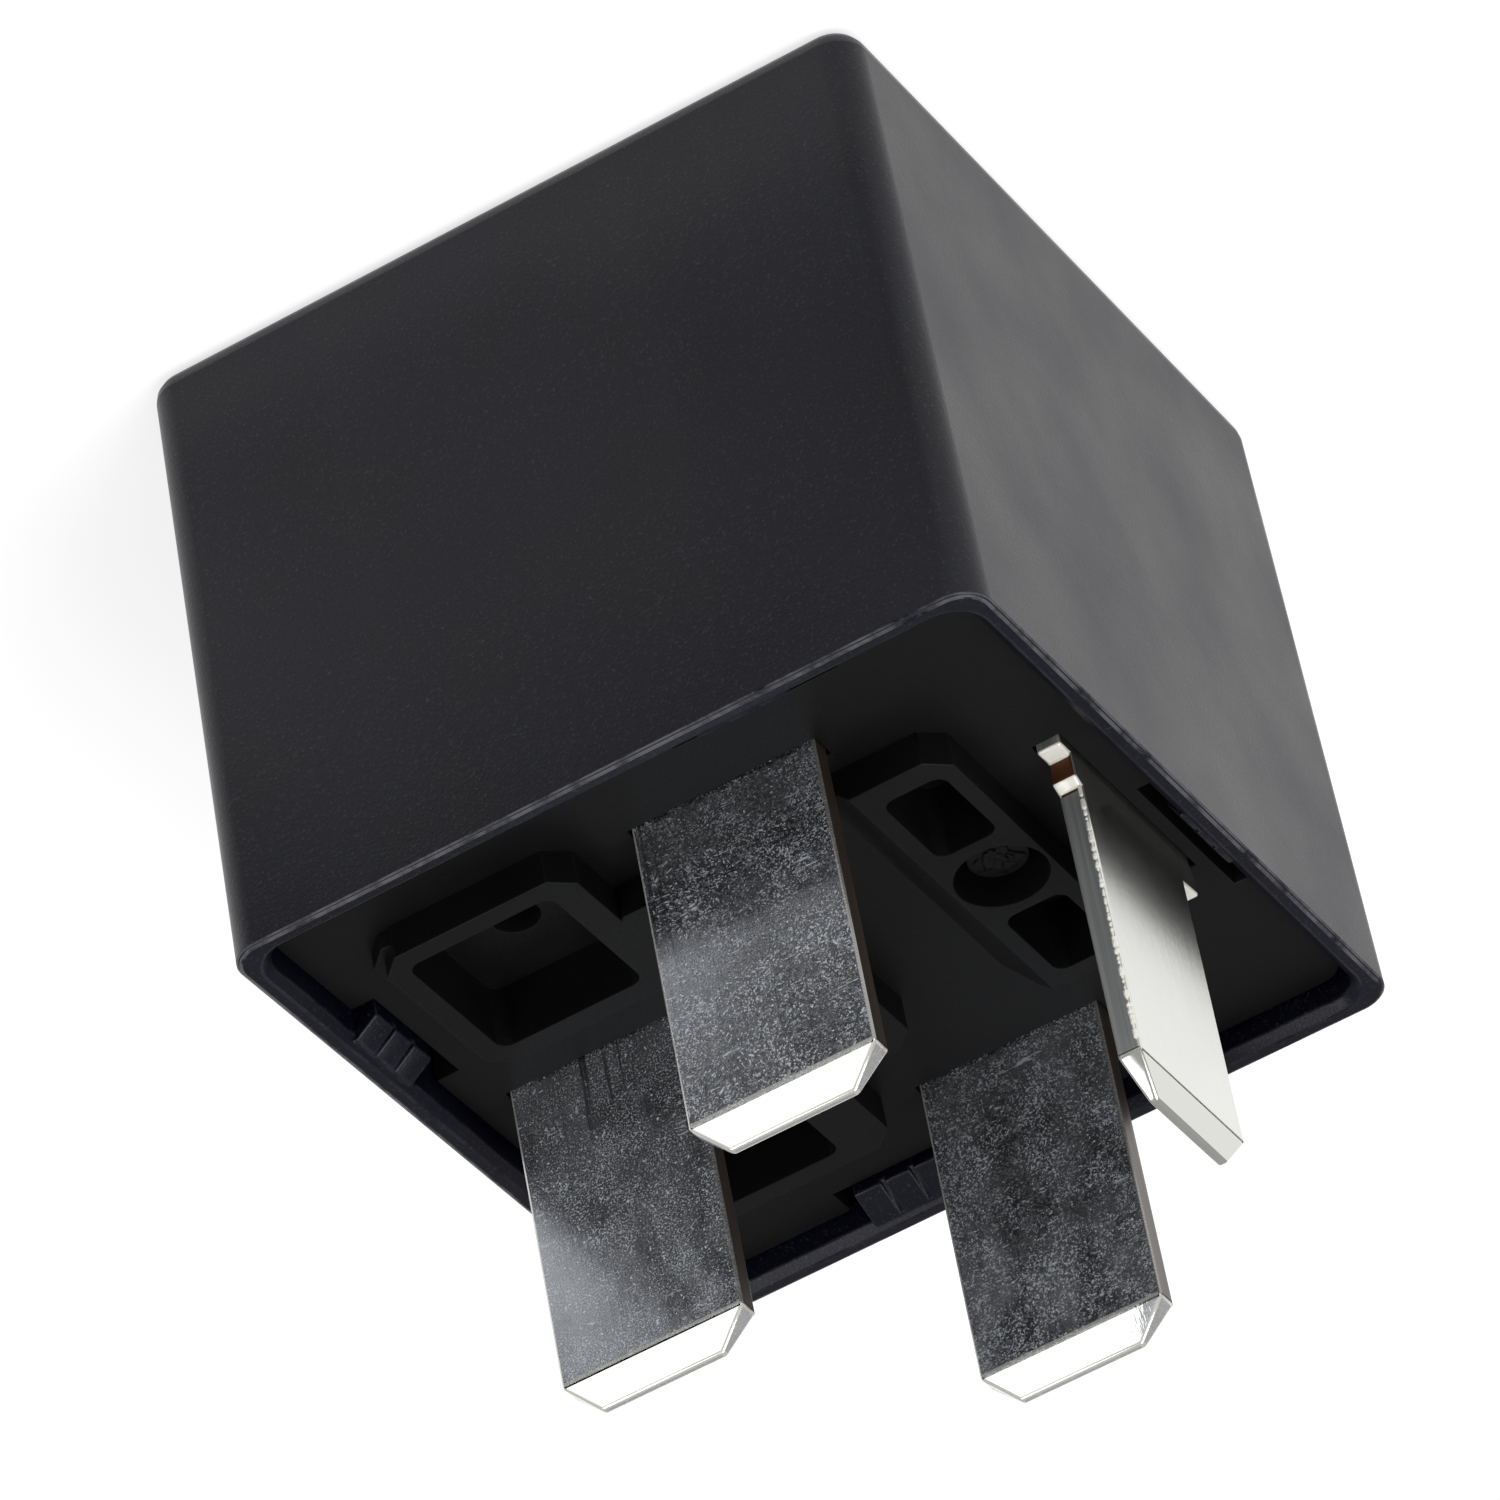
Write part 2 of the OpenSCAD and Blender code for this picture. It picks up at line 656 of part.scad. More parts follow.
// Bent strip: a leg up the back and a plate on the base, with holes for the core and rivets
module yoke() {
    bend_x = yoke_x + yoke_bend_r;
    bend_z = base_inner - yoke_bend_r;
    color("#8d9196")
        difference() {
            along_y(yoke_w)
                union() {
                    translate([yoke_x, pole_z]) square([yoke_t, bend_z - pole_z]);
                    translate([bend_x, yoke_plate_z]) square([yoke_len - yoke_bend_r, yoke_t]);
                    intersection() {
                        translate([yoke_x, yoke_plate_z - (yoke_bend_r - yoke_t)])
                            square([yoke_bend_r, yoke_bend_r]);
                        difference() {
                            translate([bend_x, bend_z]) circle(r = yoke_bend_r);
                            translate([bend_x, bend_z]) circle(r = yoke_bend_r - yoke_t);
                        }
                    }
                }
            translate([coil_x, 0, yoke_plate_z - over])
                cylinder(r = core_end_r + rivet_gap, h = yoke_t + 2 * over);
            for (side = [-1, 1])
                translate([yoke_x - over, side * yoke_rivet_pitch / 2, yoke_rivet_z])
                    rotate([0, 90, 0])
                        cylinder(r = yoke_rivet_r + rivet_gap, h = yoke_t + 2 * over);
        }
}

// Turned core: pole head, shaft and riveted end
module core() {
    color("#9a9da1")
        translate([coil_x, 0, 0])
            rotate_extrude()
                polygon([
                    [0, pole_z], [pole_r - 0.2, pole_z], [pole_r, pole_z + 0.2],
                    [pole_r, upper_flange_z], [core_r, upper_flange_z], [core_r, yoke_plate_z],
                    [core_end_r, yoke_plate_z], [core_end_r, base_inner], [0, base_inner],
                ]);
}

// Moulded bobbin with square flanges and two rests for the coil terminals' tails
module bobbin() {
    core_fit = 0.05;
    flange_r = 1.5;
    lug_w = 3.2;
    lug_gap = 0.1;
    lug_y = coil_tab_pitch / 2 - tab_t / 2 - lug_gap;
    color("#e8e3d4")
        translate([coil_x, 0, 0])
            difference() {
                union() {
                    for (z = [upper_flange_z, winding_z1])
                        translate([0, 0, z])
                            linear_extrude(height = flange_t)
                                round_rect(2 * flange_x, 2 * flange_y, flange_r);
                    translate([0, 0, upper_flange_z])
                        cylinder(r = bobbin_r, h = yoke_plate_z - upper_flange_z);
                    for (side = [-1, 1])
                        translate([
                            coil_tab_x - coil_x - lug_w / 2,
                            side > 0 ? flange_y - fuse : -lug_y,
                            winding_z1,
                        ])
                            cube([lug_w, lug_y - flange_y + fuse, flange_t]);
                }
                translate([0, 0, upper_flange_z - over])
                    cylinder(r = core_r + core_fit, h = yoke_plate_z - upper_flange_z + 2 * over);
            }
}

// A ring about the coil's axis
module coil_ring(r0, r1, z0, z1) {
    translate([coil_x, 0, z0])
        difference() {
            cylinder(r = r1, h = z1 - z0);
            translate([0, 0, -over]) cylinder(r = r0, h = z1 - z0 + 2 * over);
        }
}

module coil_winding() {
    color("#b5662f") coil_ring(bobbin_r, winding_r, winding_z0, winding_z1);
}

module coil_tape() {
    color("#c9a33a")
        coil_ring(winding_r, tape_r, winding_z0 + tape_margin, winding_z1 - tape_margin);
}

// Lead wire from the winding to a coil terminal's tail
module coil_lead(side) {
    wire_y = coil_tab_pitch / 2 - tab_t / 2 - wire_r;
    off_x = coil_tab_x - coil_x;
    start_y = sqrt(winding_r * winding_r - off_x * off_x) + wire_r;
    tail_z = base_inner - tail_h;
    color("#c8743a")
        wire([
            [coil_tab_x, side * start_y, winding_z1 - 0.5],
            [coil_tab_x, side * (start_y + 0.4), winding_z1 - 0.9],
            [coil_tab_x, side * wire_y, winding_z1 - 1.6],
            [coil_tab_x, side * wire_y, tail_z + 1.3],
        ], wire_r);
}

// Armature and spring -------------------------------------------------------------------------

// Places a shape drawn closed, about the hinge edge, at the released angle
module released() {
    translate([hinge_x, 0, pole_z]) rotate([0, open_angle, 0]) children();
}

module armature() {
    length = armature_x - hinge_x;
    taper = 2.2;
    color("#9b9ea3")
        released()
            difference() {
                translate([0, 0, arm_back])
                    linear_extrude(height = armature_t)
                        polygon([
                            [arm_rear, -armature_w / 2], [length - taper, -armature_w / 2],
                            [length, -armature_w / 2 + taper], [length, armature_w / 2 - taper],
                            [length - taper, armature_w / 2], [arm_rear, armature_w / 2],
                        ]);
                for (side = [-1, 1])
                    translate([arm_rivet_x - hinge_x, side * arm_rivet_pitch / 2, arm_back - over])
                        cylinder(r = arm_rivet_r + rivet_gap, h = armature_t + 2 * over);
            }
}

module armature_rivets() {
    flush = 0.02;
    color("#a9acb0")
        released()
            for (side = [-1, 1])
                translate([arm_rivet_x - hinge_x, side * arm_rivet_pitch / 2, 0]) {
                    translate([0, 0, spring_back - head_t])
                        cylinder(r = 1.8 * arm_rivet_r, h = head_t);
                    translate([0, 0, spring_back - eps])
                        cylinder(r = arm_rivet_r, h = arm_face - spring_back - flush + eps);
                }
}

// Points along an arc from p, as [x, z, heading]; a positive turn raises the heading
function arc(p, heading, turn, r, steps) = [
    for (i = [1 : steps])
        let (
            side = sign(turn) * 90,
            centre = p + r * [cos(heading + side), sin(heading + side)],
            h = heading + turn * i / steps
        )
            [
                centre[0] - r * cos(h + side),
                centre[1] - r * sin(h + side),
                h,
            ]
];

// The spring's middle line behind the hinge, in X and Z from the hinge edge
bow_start = [-0.45, (arm_back + spring_back) / 2];
bow_p0 = [
    bow_start[0] * cos(open_angle) + bow_start[1] * sin(open_angle),
    -bow_start[0] * sin(open_angle) + bow_start[1] * cos(open_angle),
];
bow_h0 = 180 - open_angle;
bow_turn = arc(bow_p0, bow_h0, open_angle - 90 - bow_lean, bow_r, 12);
bow_mid = bow_turn[len(bow_turn) - 1];
bow_return = bow_r * (1 - cos(bow_lean));
bow_straight = (-spring_t / 2 - bow_mid[0] - bow_return) / sin(bow_lean);
bow_p1 = [
    bow_mid[0] + bow_straight * sin(bow_lean),
    bow_mid[1] + bow_straight * cos(bow_lean),
];
bow_back = arc(bow_p1, 90 - bow_lean, bow_lean, bow_r, 6);
leg_top = bow_back[len(bow_back) - 1];
bow_path = concat(
    [[bow_p0[0] - fuse * cos(bow_h0), bow_p0[1] - fuse * sin(bow_h0), bow_h0]],
    [[bow_p0[0], bow_p0[1], bow_h0]],
    bow_turn,
    [[bow_p1[0], bow_p1[1], 90 - bow_lean]],
    bow_back,
    [[leg_top[0], leg_top[1] + spring_leg, 90]]
);

// Outline of a strip of thickness t along a path of [x, z, heading]
function strip(path, t) = concat(
    [for (p = path) [p[0] - t / 2 * sin(p[2]), p[1] + t / 2 * cos(p[2])]],
    [for (i = [len(path) - 1 : -1 : 0]) let (p = path[i])
        [p[0] + t / 2 * sin(p[2]), p[1] - t / 2 * cos(p[2])]]
);

// One folded leaf: a leg clamped to the yoke, a bow behind the hinge, and the contact blade
module contact_spring() {
    blade_x0 = bow_start[0];
    blade_x1 = spring_x - hinge_x;
    tip_start = blade_x1 - 5.5;
    tip_r = 0.8;
    color("#c58a4e")
        union() {
            difference() {
                translate([hinge_x, 0, pole_z])
                    along_y(spring_w) polygon(strip(bow_path, spring_t));
                for (side = [-1, 1])
                    translate([hinge_x - over, side * yoke_rivet_pitch / 2, yoke_rivet_z])
                        rotate([0, 90, 0]) cylinder(r = yoke_rivet_r + rivet_gap, h = 2 * over);
            }
            released()
                difference() {
                    translate([0, 0, spring_back])
                        linear_extrude(height = spring_t)
                            polygon([
                                [blade_x0, -spring_w / 2], [tip_start - 2, -spring_w / 2],
                                [tip_start, -spring_tip_w / 2],
                                [blade_x1 - tip_r, -spring_tip_w / 2],
                                [blade_x1, -spring_tip_w / 2 + tip_r],
                                [blade_x1, spring_tip_w / 2 - tip_r],
                                [blade_x1 - tip_r, spring_tip_w / 2],
                                [tip_start, spring_tip_w / 2],
                                [tip_start - 2, spring_w / 2], [blade_x0, spring_w / 2],
                            ]);
                    for (side = [-1, 1])
                        translate([
                            arm_rivet_x - hinge_x,
                            side * arm_rivet_pitch / 2,
                            spring_back - over,
                        ])
                            cylinder(r = arm_rivet_r + rivet_gap, h = 2 * over);
                    translate([contact_x - hinge_x, 0, spring_back - over])
                        cylinder(r = contact_shank_r + rivet_gap, h = 2 * over);
                }
        }
}

// Contacts ------------------------------------------------------------------------------------

module moving_contact() {
    color("#d9dadb")
        released()
            translate([contact_x - hinge_x, 0, 0]) {
                translate([0, 0, arm_back]) cylinder(r = moving_r, h = moving_t);
                translate([0, 0, spring_back - eps])
                    cylinder(r = contact_shank_r, h = spring_t + 2 * eps);
                translate([0, 0, spring_back - head_t]) cylinder(r = head_r, h = head_t);
            }
}

module fixed_contact() {
    peen_t = 0.2;
    color("#d9dadb")
        translate([contact_x, 0, 0]) {
            translate([0, 0, fixed_face]) cylinder(r = fixed_r, h = fixed_t);
            translate([0, 0, arm_z0 - eps]) cylinder(r = contact_shank_r, h = tab_t + 2 * eps);
            translate([0, 0, arm_z1]) cylinder(r = 1.3 * contact_shank_r, h = peen_t);
        }
}

module yoke_rivets() {
    head_ratio = 1.6;
    color("#a9acb0")
        for (side = [-1, 1])
            translate([0, side * yoke_rivet_pitch / 2, yoke_rivet_z])
                rotate([0, 90, 0]) {
                    translate([0, 0, common_x0 - head_t])
                        cylinder(r = head_ratio * yoke_rivet_r, h = head_t);
                    translate([0, 0, common_x0 - eps])
                        cylinder(r = yoke_rivet_r, h = yoke_x + yoke_t - common_x0 + 2 * eps);
                    translate([0, 0, yoke_x + yoke_t])
                        cylinder(r = head_ratio * yoke_rivet_r, h = head_t);
                }
}

// Bent strip that stands in the base and holds the released armature at its open angle
module armature_stop() {
    fold_r = 0.3;
    color("#8d9196")
        along_y(stop_w)
            union() {
                translate([stop_x0, stop_z1 + fold_r])
                    square([stop_t, base_inner + stop_seat - stop_z1 - fold_r]);
                translate([stop_reach, stop_z0]) square([stop_x0 - fold_r - stop_reach, stop_t]);
                intersection() {
                    difference() {
                        translate([stop_x0 - fold_r, stop_z1 + fold_r]) circle(r = stop_t + fold_r);
                        translate([stop_x0 - fold_r, stop_z1 + fold_r]) circle(r = fold_r);
                    }
                    translate([stop_x0 - fold_r, stop_z0])
                        square([stop_t + fold_r, stop_t + fold_r]);
                }
            }
}

// Resistor ------------------------------------------------------------------------------------

// Body of an axial resistor, thicker over its end caps
module resistor_body() {
    cap_len = 1.4;
    waist_r = 0.85 * resistor_r;
    round_len = 0.3;
    half = resistor_len / 2;
    color("#4b6f8c")
        translate([resistor_x, 0, resistor_z])
            rotate([90, 0, 0])
                rotate_extrude()
                    polygon([
                        [0, -half], [resistor_r - round_len, -half],
                        [resistor_r, -half + round_len], [resistor_r, -half + cap_len],
                        [waist_r, -half + cap_len + round_len],
                        [waist_r, half - cap_len - round_len], [resistor_r, half - cap_len],
                        [resistor_r, half - round_len], [resistor_r - round_len, half], [0, half],
                    ]);
}

// Lead from one end of the resistor to the edge of a coil terminal's tail
module resistor_lead(side) {
    lead_y = side * coil_tab_pitch / 2;
    color("#b9bcc2")
        wire([
            [resistor_x, side * resistor_len / 2, resistor_z],
            [resistor_x, lead_y, resistor_z],
            [coil_tab_x + tail_w / 2, lead_y, resistor_z],
        ], lead_r);
}

// Pieces --------------------------------------------------------------------------------------

cover();
base();
coil_terminal(-1);  // coil_terminal_a
coil_terminal(1);  // coil_terminal_b
common_terminal();
load_terminal();
yoke();
core();
bobbin();
coil_winding();
coil_tape();
coil_lead(-1);  // coil_lead_start
coil_lead(1);  // coil_lead_finish
armature();
armature_rivets();
contact_spring();
moving_contact();
fixed_contact();
yoke_rivets();
armature_stop();
resistor_body();
resistor_lead(-1);  // resistor_lead_a
resistor_lead(1);  // resistor_lead_b
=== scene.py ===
"""Finish and studio for a plug-in automotive relay: snap-on cover, moulded base and four tinned blades.

The relay stands on its closed end with its blades up. Every size is in metres in the frame of the
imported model, and every piece takes its place from that model's own nodes.
"""

import json
import logging
import math
import random
from dataclasses import dataclass
from enum import Enum
from typing import Callable

import bmesh
import bpy
from mathutils import Matrix, Vector, noise
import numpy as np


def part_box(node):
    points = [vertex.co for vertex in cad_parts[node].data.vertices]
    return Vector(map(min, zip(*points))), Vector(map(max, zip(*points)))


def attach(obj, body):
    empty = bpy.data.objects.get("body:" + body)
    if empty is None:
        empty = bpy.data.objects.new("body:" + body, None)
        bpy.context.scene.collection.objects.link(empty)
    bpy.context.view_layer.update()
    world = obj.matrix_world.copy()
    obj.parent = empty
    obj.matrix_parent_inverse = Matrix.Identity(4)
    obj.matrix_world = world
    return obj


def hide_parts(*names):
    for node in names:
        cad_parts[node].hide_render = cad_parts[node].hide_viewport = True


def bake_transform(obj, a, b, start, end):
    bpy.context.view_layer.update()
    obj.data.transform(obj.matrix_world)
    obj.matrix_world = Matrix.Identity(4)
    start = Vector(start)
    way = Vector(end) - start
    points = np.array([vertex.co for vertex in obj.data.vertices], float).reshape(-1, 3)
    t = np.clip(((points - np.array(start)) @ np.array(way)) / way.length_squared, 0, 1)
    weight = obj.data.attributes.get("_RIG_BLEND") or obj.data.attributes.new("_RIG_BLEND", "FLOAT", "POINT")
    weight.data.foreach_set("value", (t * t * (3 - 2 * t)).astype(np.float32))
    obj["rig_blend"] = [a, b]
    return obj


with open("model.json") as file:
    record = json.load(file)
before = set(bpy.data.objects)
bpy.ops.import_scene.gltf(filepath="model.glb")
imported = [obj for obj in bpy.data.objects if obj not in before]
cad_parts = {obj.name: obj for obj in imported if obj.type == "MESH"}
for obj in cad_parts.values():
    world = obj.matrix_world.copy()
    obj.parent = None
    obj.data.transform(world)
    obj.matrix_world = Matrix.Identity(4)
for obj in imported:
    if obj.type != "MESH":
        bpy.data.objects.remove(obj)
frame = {"nodes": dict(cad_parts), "record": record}

MM = 0.001
Colour = tuple[float, float, float]
Triple = tuple[float, float, float]
Span = tuple[float, float]
Socket = bpy.types.NodeSocket
log = logging.getLogger("relay")


class Body(Enum):
    """The two bodies that the model's one joint joins."""

    HOUSING = "housing"
    ARMATURE = "armature"


class Slot(Enum):
    """The record's material slots, passed along with each new piece."""

    COVER = "cover_plastic"
    BASE = "base_plastic"
    TINNED = "tinned_sheet"
    IRON = "plated_iron"
    BOBBIN = "bobbin_plastic"
    COPPER = "enamelled_copper"
    TAPE = "coil_tape"
    RIVET = "rivet_steel"
    BRONZE = "spring_bronze"
    SILVER = "contact_silver"
    RESISTOR = "resistor_coat"


class Mark(Enum):
    """What a face is marked as, for its finish to read."""

    WEAR = "edge_wear"
    CUT = "cut_edge"
    COINED = "coined_bevel"
    # Pale ripped metal, painted as a glint
    TORN_GLINT = "torn_metal"
    STAIN = "brown_stain"


class Texture(Enum):
    """How a noise looks: its layers of detail, and how strongly the finer ones count."""

    SMOOTH = (1.0, 0.5)
    SOFT = (2.0, 0.5)
    STREAKED = (2.0, 0.6)
    GRITTY = (2.0, 0.8)
    CLOUDY = (3.0, 0.55)
    FLOWING = (3.0, 0.6)
    SANDY = (3.0, 0.65)
    PITTED = (3.0, 0.7)
    RAGGED = (4.0, 0.65)
    BLOTCHED = (5.0, 0.65)
    HAZY = (6.0, 0.75)


# Shader drawing ------------------------------------------------------------------------------


class Sheet:
    """A node tree being drawn up, with short ways to add and join nodes."""

    # The sockets of a Mix node that carry colours
    MIX_A, MIX_B, MIX_RESULT = 6, 7, 2

    def __init__(self, tree: bpy.types.NodeTree) -> None:
        """Takes the tree to draw in."""
        self.tree = tree

    def add(self, kind: str, **settings: object) -> bpy.types.Node:
        """Adds a node.

        Args:
            kind: The node's type, such as ShaderNodeTexNoise.
            settings: Properties to set on it.

        Returns:
            The new node.
        """
        node = self.tree.nodes.new(kind)
        for name, value in settings.items():
            setattr(node, name, value)
        return node

    def feed(self, socket: Socket, value: object) -> None:
        """Joins a socket to another one, or sets it to a plain value.

        Args:
            socket: The socket to fill.
            value: Another socket, a number or a colour.
        """
        if isinstance(value, Socket):
            self.tree.links.new(value, socket)
        elif isinstance(value, tuple) and socket.type == "RGBA":
            socket.default_value = (*value, 1.0)
        else:
            socket.default_value = value

    def math(self, operation: str, a: object, b: object = 0.0, clamp: bool = False) -> Socket:
        """Adds a Math node.

        Args:
            operation: What it does, such as MULTIPLY.
            a: Its first value.
            b: Its second value.
            clamp: Whether the result stays between 0 and 1.

        Returns:
            The result.
        """
        node = self.add("ShaderNodeMath", operation=operation, use_clamp=clamp)
        self.feed(node.inputs[0], a)
        self.feed(node.inputs[1], b)
        return node.outputs[0]

    def times(self, *values: object) -> Socket:
        """Multiplies values.

        Args:
            values: Two or more values.

        Returns:
            Their product.
        """
        product = values[0]
        for value in values[1:]:
            product = self.math("MULTIPLY", product, value)
        return product

    def span(self, value: object, given: Span, wanted: Span = (0.0, 1.0)) -> Socket:
        """Maps a value from one range to another and keeps it there.

        Args:
            value: The value to map.
            given: The two values that become the ends of the wanted range.
            wanted: The range of the result.

        Returns:
            The mapped value.
        """
        node = self.add("ShaderNodeMapRange", clamp=True)
        for socket, fed in zip(node.inputs, (value, *given, *wanted)):
            self.feed(socket, fed)
        return node.outputs[0]

    def blend(self, factor: object, a: object, b: object) -> Socket:
        """Mixes two colours.

        Args:
            factor: How much of the second colour shows.
            a: The first colour.
            b: The second colour.

        Returns:
            The mixed colour.
        """
        node = self.add("ShaderNodeMix", data_type="RGBA")
        self.feed(node.inputs[0], factor)
        self.feed(node.inputs[self.MIX_A], a)
        self.feed(node.inputs[self.MIX_B], b)
        return node.outputs[self.MIX_RESULT]

    def mark(self, mark: Mark) -> Socket:
        """Reads one of the piece's marks."""
        return self.add("ShaderNodeAttribute", attribute_name=mark.value).outputs["Fac"]

    def place(self, stretch: Triple = (1.0, 1.0, 1.0), turn: Triple = (0.0, 0.0, 0.0)) -> Socket:
        """Gives the piece's own coordinates, turned and then stretched.

        Args:
            stretch: The scale along each axis. A small one draws a pattern out along it.
            turn: The turn about each axis in degrees.

        Returns:
            The coordinates.
        """
        turned = self.add("ShaderNodeMapping")
        self.feed(turned.inputs["Vector"], self.add("ShaderNodeTexCoord").outputs["Object"])
        turned.inputs["Rotation"].default_value = tuple(math.radians(a) for a in turn)
        drawn = self.add("ShaderNodeMapping")
        self.feed(drawn.inputs["Vector"], turned.outputs[0])
        drawn.inputs["Scale"].default_value = stretch
        return drawn.outputs[0]

    def noise(self, vector: object, density: object, texture: Texture) -> Socket:
        """Adds a noise.

        Args:
            vector: The coordinates that it lies on.
            density: How many blotches it has in a metre.
            texture: How it looks.

        Returns:
            Its value, about 0.5 on the whole.
        """
        detail, roughness = texture.value
        node = self.add("ShaderNodeTexNoise", noise_dimensions="3D")
        self.feed(node.inputs["Vector"], vector)
        self.feed(node.inputs["Scale"], density)
        node.inputs["Detail"].default_value = detail
        node.inputs["Roughness"].default_value = roughness
        return node.outputs[0]

    def bump(self, height: object, depth: float, under: object = None) -> Socket:
        """Turns a height into a normal.

        Args:
            height: The height, from 0 to 1.
            depth: How deep that is, in metres.
            under: A normal that this one lies over, if any.

        Returns:
            The normal.
        """
        node = self.add("ShaderNodeBump")
        node.inputs["Strength"].default_value = 1.0
        node.inputs["Distance"].default_value = depth
        self.feed(node.inputs["Height"], height)
        if under is not None:
            self.feed(node.inputs["Normal"], under)
        return node.outputs[0]


def effect_group(name: str, inputs: dict[str, float],
                 outputs: tuple[str, ...]) -> tuple[Sheet, dict[str, Socket], dict[str, Socket]]:
    """Starts a shader node group with named values in and out.

    Args:
        name: The group's name.
        inputs: The name of each input, with its first value.
        outputs: The name of each output.

    Returns:
        The sheet to draw in, the sockets that the inputs give, and the sockets that take the outputs.
    """
    tree = bpy.data.node_groups.new(name, "ShaderNodeTree")
    for label, value in inputs.items():
        socket = tree.interface.new_socket(label, in_out="INPUT", socket_type="NodeSocketFloat")
        socket.default_value = value
    for label in outputs:
        tree.interface.new_socket(label, in_out="OUTPUT", socket_type="NodeSocketFloat")
    sheet = Sheet(tree)
    given = sheet.add("NodeGroupInput")
    taken = sheet.add("NodeGroupOutput")
    return sheet, {k: given.outputs[k] for k in inputs}, {k: taken.inputs[k] for k in outputs}


def moulding_grain() -> bpy.types.NodeTree:
    """Draws the spark-eroded grain of a moulded face, with pale grains, slow clouds and flow lines along Z.

    Returns:
        The group.
    """
    palest_grains = (0.58, 0.78)
    flow_stretch = (1.0, 1.0, 0.06)
    sheet, given, out = effect_group(
        "moulding_grain", {"Grains": 9000.0, "Cloud": 160.0, "Flow": 500.0},
        ("Height", "Speck", "Cloud", "Flow"))
    where = sheet.place()
    sheet.feed(out["Height"], sheet.noise(where, given["Grains"], Texture.SANDY))
    dust = sheet.noise(where, given["Grains"], Texture.GRITTY)
    sheet.feed(out["Speck"], sheet.span(dust, palest_grains))
    sheet.feed(out["Cloud"], sheet.noise(where, given["Cloud"], Texture.CLOUDY))
    sheet.feed(out["Flow"], sheet.noise(sheet.place(flow_stretch), given["Flow"], Texture.FLOWING))
    return sheet.tree


def edge_wear() -> bpy.types.NodeTree:
    """Draws a broken pale line along the edges that are marked as worn.

    Returns:
        The group.
    """
    highest, contrast = 0.75, 5.0
    sheet, given, out = effect_group("edge_wear", {"Breaks": 700.0, "Cover": 0.5}, ("Wear",))
    where = sheet.place()
    breaks = sheet.noise(where, given["Breaks"], Texture.RAGGED)
    lowest = sheet.math("SUBTRACT", highest, given["Cover"])
    broken = sheet.math("MULTIPLY", sheet.math("SUBTRACT", breaks, lowest), contrast, clamp=True)
    sheet.feed(out["Wear"], sheet.times(sheet.mark(Mark.WEAR), broken))
    return sheet.tree


def scratches() -> bpy.types.NodeTree:
    """Draws hair-thin, slightly bent handling scratches that cross a flat at several angles, in patches.

    Returns:
        The group.
    """
    # Each direction's angle in degrees, and how dense its scratches are beside the others'
    directions = ((20.0, 1.0), (75.0, 1.2), (-40.0, 0.85), (125.0, 1.1), (-85.0, 0.95), (50.0, 1.3))
    line_stretch = (1.0, 1.0, 0.05)
    line_core = (0.62, 0.68)
    sway_density, sway_reach = 900.0, (0.22 * MM, 0.22 * MM, 0.0)
    patch_density, patch_top, patch_contrast = 900.0, 1.03, 9.0
    sheet, given, out = effect_group("scratches", {"Lines": 11000.0, "Share": 0.49}, ("Scratch",))
    sway = sheet.add("ShaderNodeTexNoise", noise_dimensions="3D")
    sheet.feed(sway.inputs["Vector"], sheet.place())
    sway.inputs["Scale"].default_value = sway_density
    total = None
    for angle, shift in directions:
        bend = sheet.add("ShaderNodeVectorMath", operation="MULTIPLY_ADD")
        sheet.feed(bend.inputs[0], sway.outputs["Color"])
        bend.inputs[1].default_value = sway_reach
        sheet.feed(bend.inputs[2], sheet.place(line_stretch, (angle, angle, 0.0)))
        lines = sheet.noise(bend.outputs[0], sheet.math("MULTIPLY", given["Lines"], shift), Texture.SMOOTH)
        patch = sheet.noise(sheet.place(turn=(angle, 0.0, angle)), patch_density * shift, Texture.SANDY)
        lowest = sheet.math("SUBTRACT", patch_top, given["Share"])
        spread = sheet.math("MULTIPLY", sheet.math("SUBTRACT", patch, lowest), patch_contrast, clamp=True)
        part = sheet.times(sheet.span(lines, line_core), spread)
        total = part if total is None else sheet.math("MAXIMUM", total, part)
    sheet.feed(out["Scratch"], total)
    return sheet.tree


def drag_marks() -> bpy.types.NodeTree:
    """Draws fine straight marks along Z, as a die or a socket leaves them.

    Returns:
        The group.
    """
    line_stretch, line_core = (1.0, 1.0, 0.015), (0.57, 0.66)
    patch_stretch, patch_edge = (1.0, 1.0, 0.4), (0.50, 0.60)
    sheet, given, out = effect_group("drag_marks", {"Lines": 6000.0, "Patches": 320.0}, ("Mark", "Height"))
    lines = sheet.noise(sheet.place(line_stretch), given["Lines"], Texture.STREAKED)
    patches = sheet.noise(sheet.place(patch_stretch), given["Patches"], Texture.SOFT)
    sheet.feed(out["Mark"], sheet.times(sheet.span(lines, line_core), sheet.span(patches, patch_edge)))
    sheet.feed(out["Height"], lines)
    return sheet.tree


class Effects:
    """The shared effects, each built once and placed in any material."""

    def __init__(self) -> None:
        """Builds every group."""
        self.grain = moulding_grain()
        self.wear = edge_wear()
        self.scratches = scratches()
        self.marks = drag_marks()

    @staticmethod
    def put(sheet: Sheet, group: bpy.types.NodeTree, **values: float) -> dict[str, Socket]:
        """Places a group in a material.

        Args:
            sheet: The material's sheet.
            group: The group to place.
            values: The group's inputs to set.

        Returns:
            The group's outputs by name.
        """
        node = sheet.add("ShaderNodeGroup", node_tree=group)
        for name, value in values.items():
            node.inputs[name].default_value = value
        return {socket.name: socket for socket in node.outputs}


# Finishes ------------------------------------------------------------------------------------


def begin_material(name: str) -> tuple[bpy.types.Material, Sheet]:
    """Starts a material with nothing drawn in it.

    Args:
        name: The material's name.

    Returns:
        The material and its sheet.
    """
    material = bpy.data.materials.new(name)
    material.use_nodes = True
    material.node_tree.nodes.clear()
    return material, Sheet(material.node_tree)


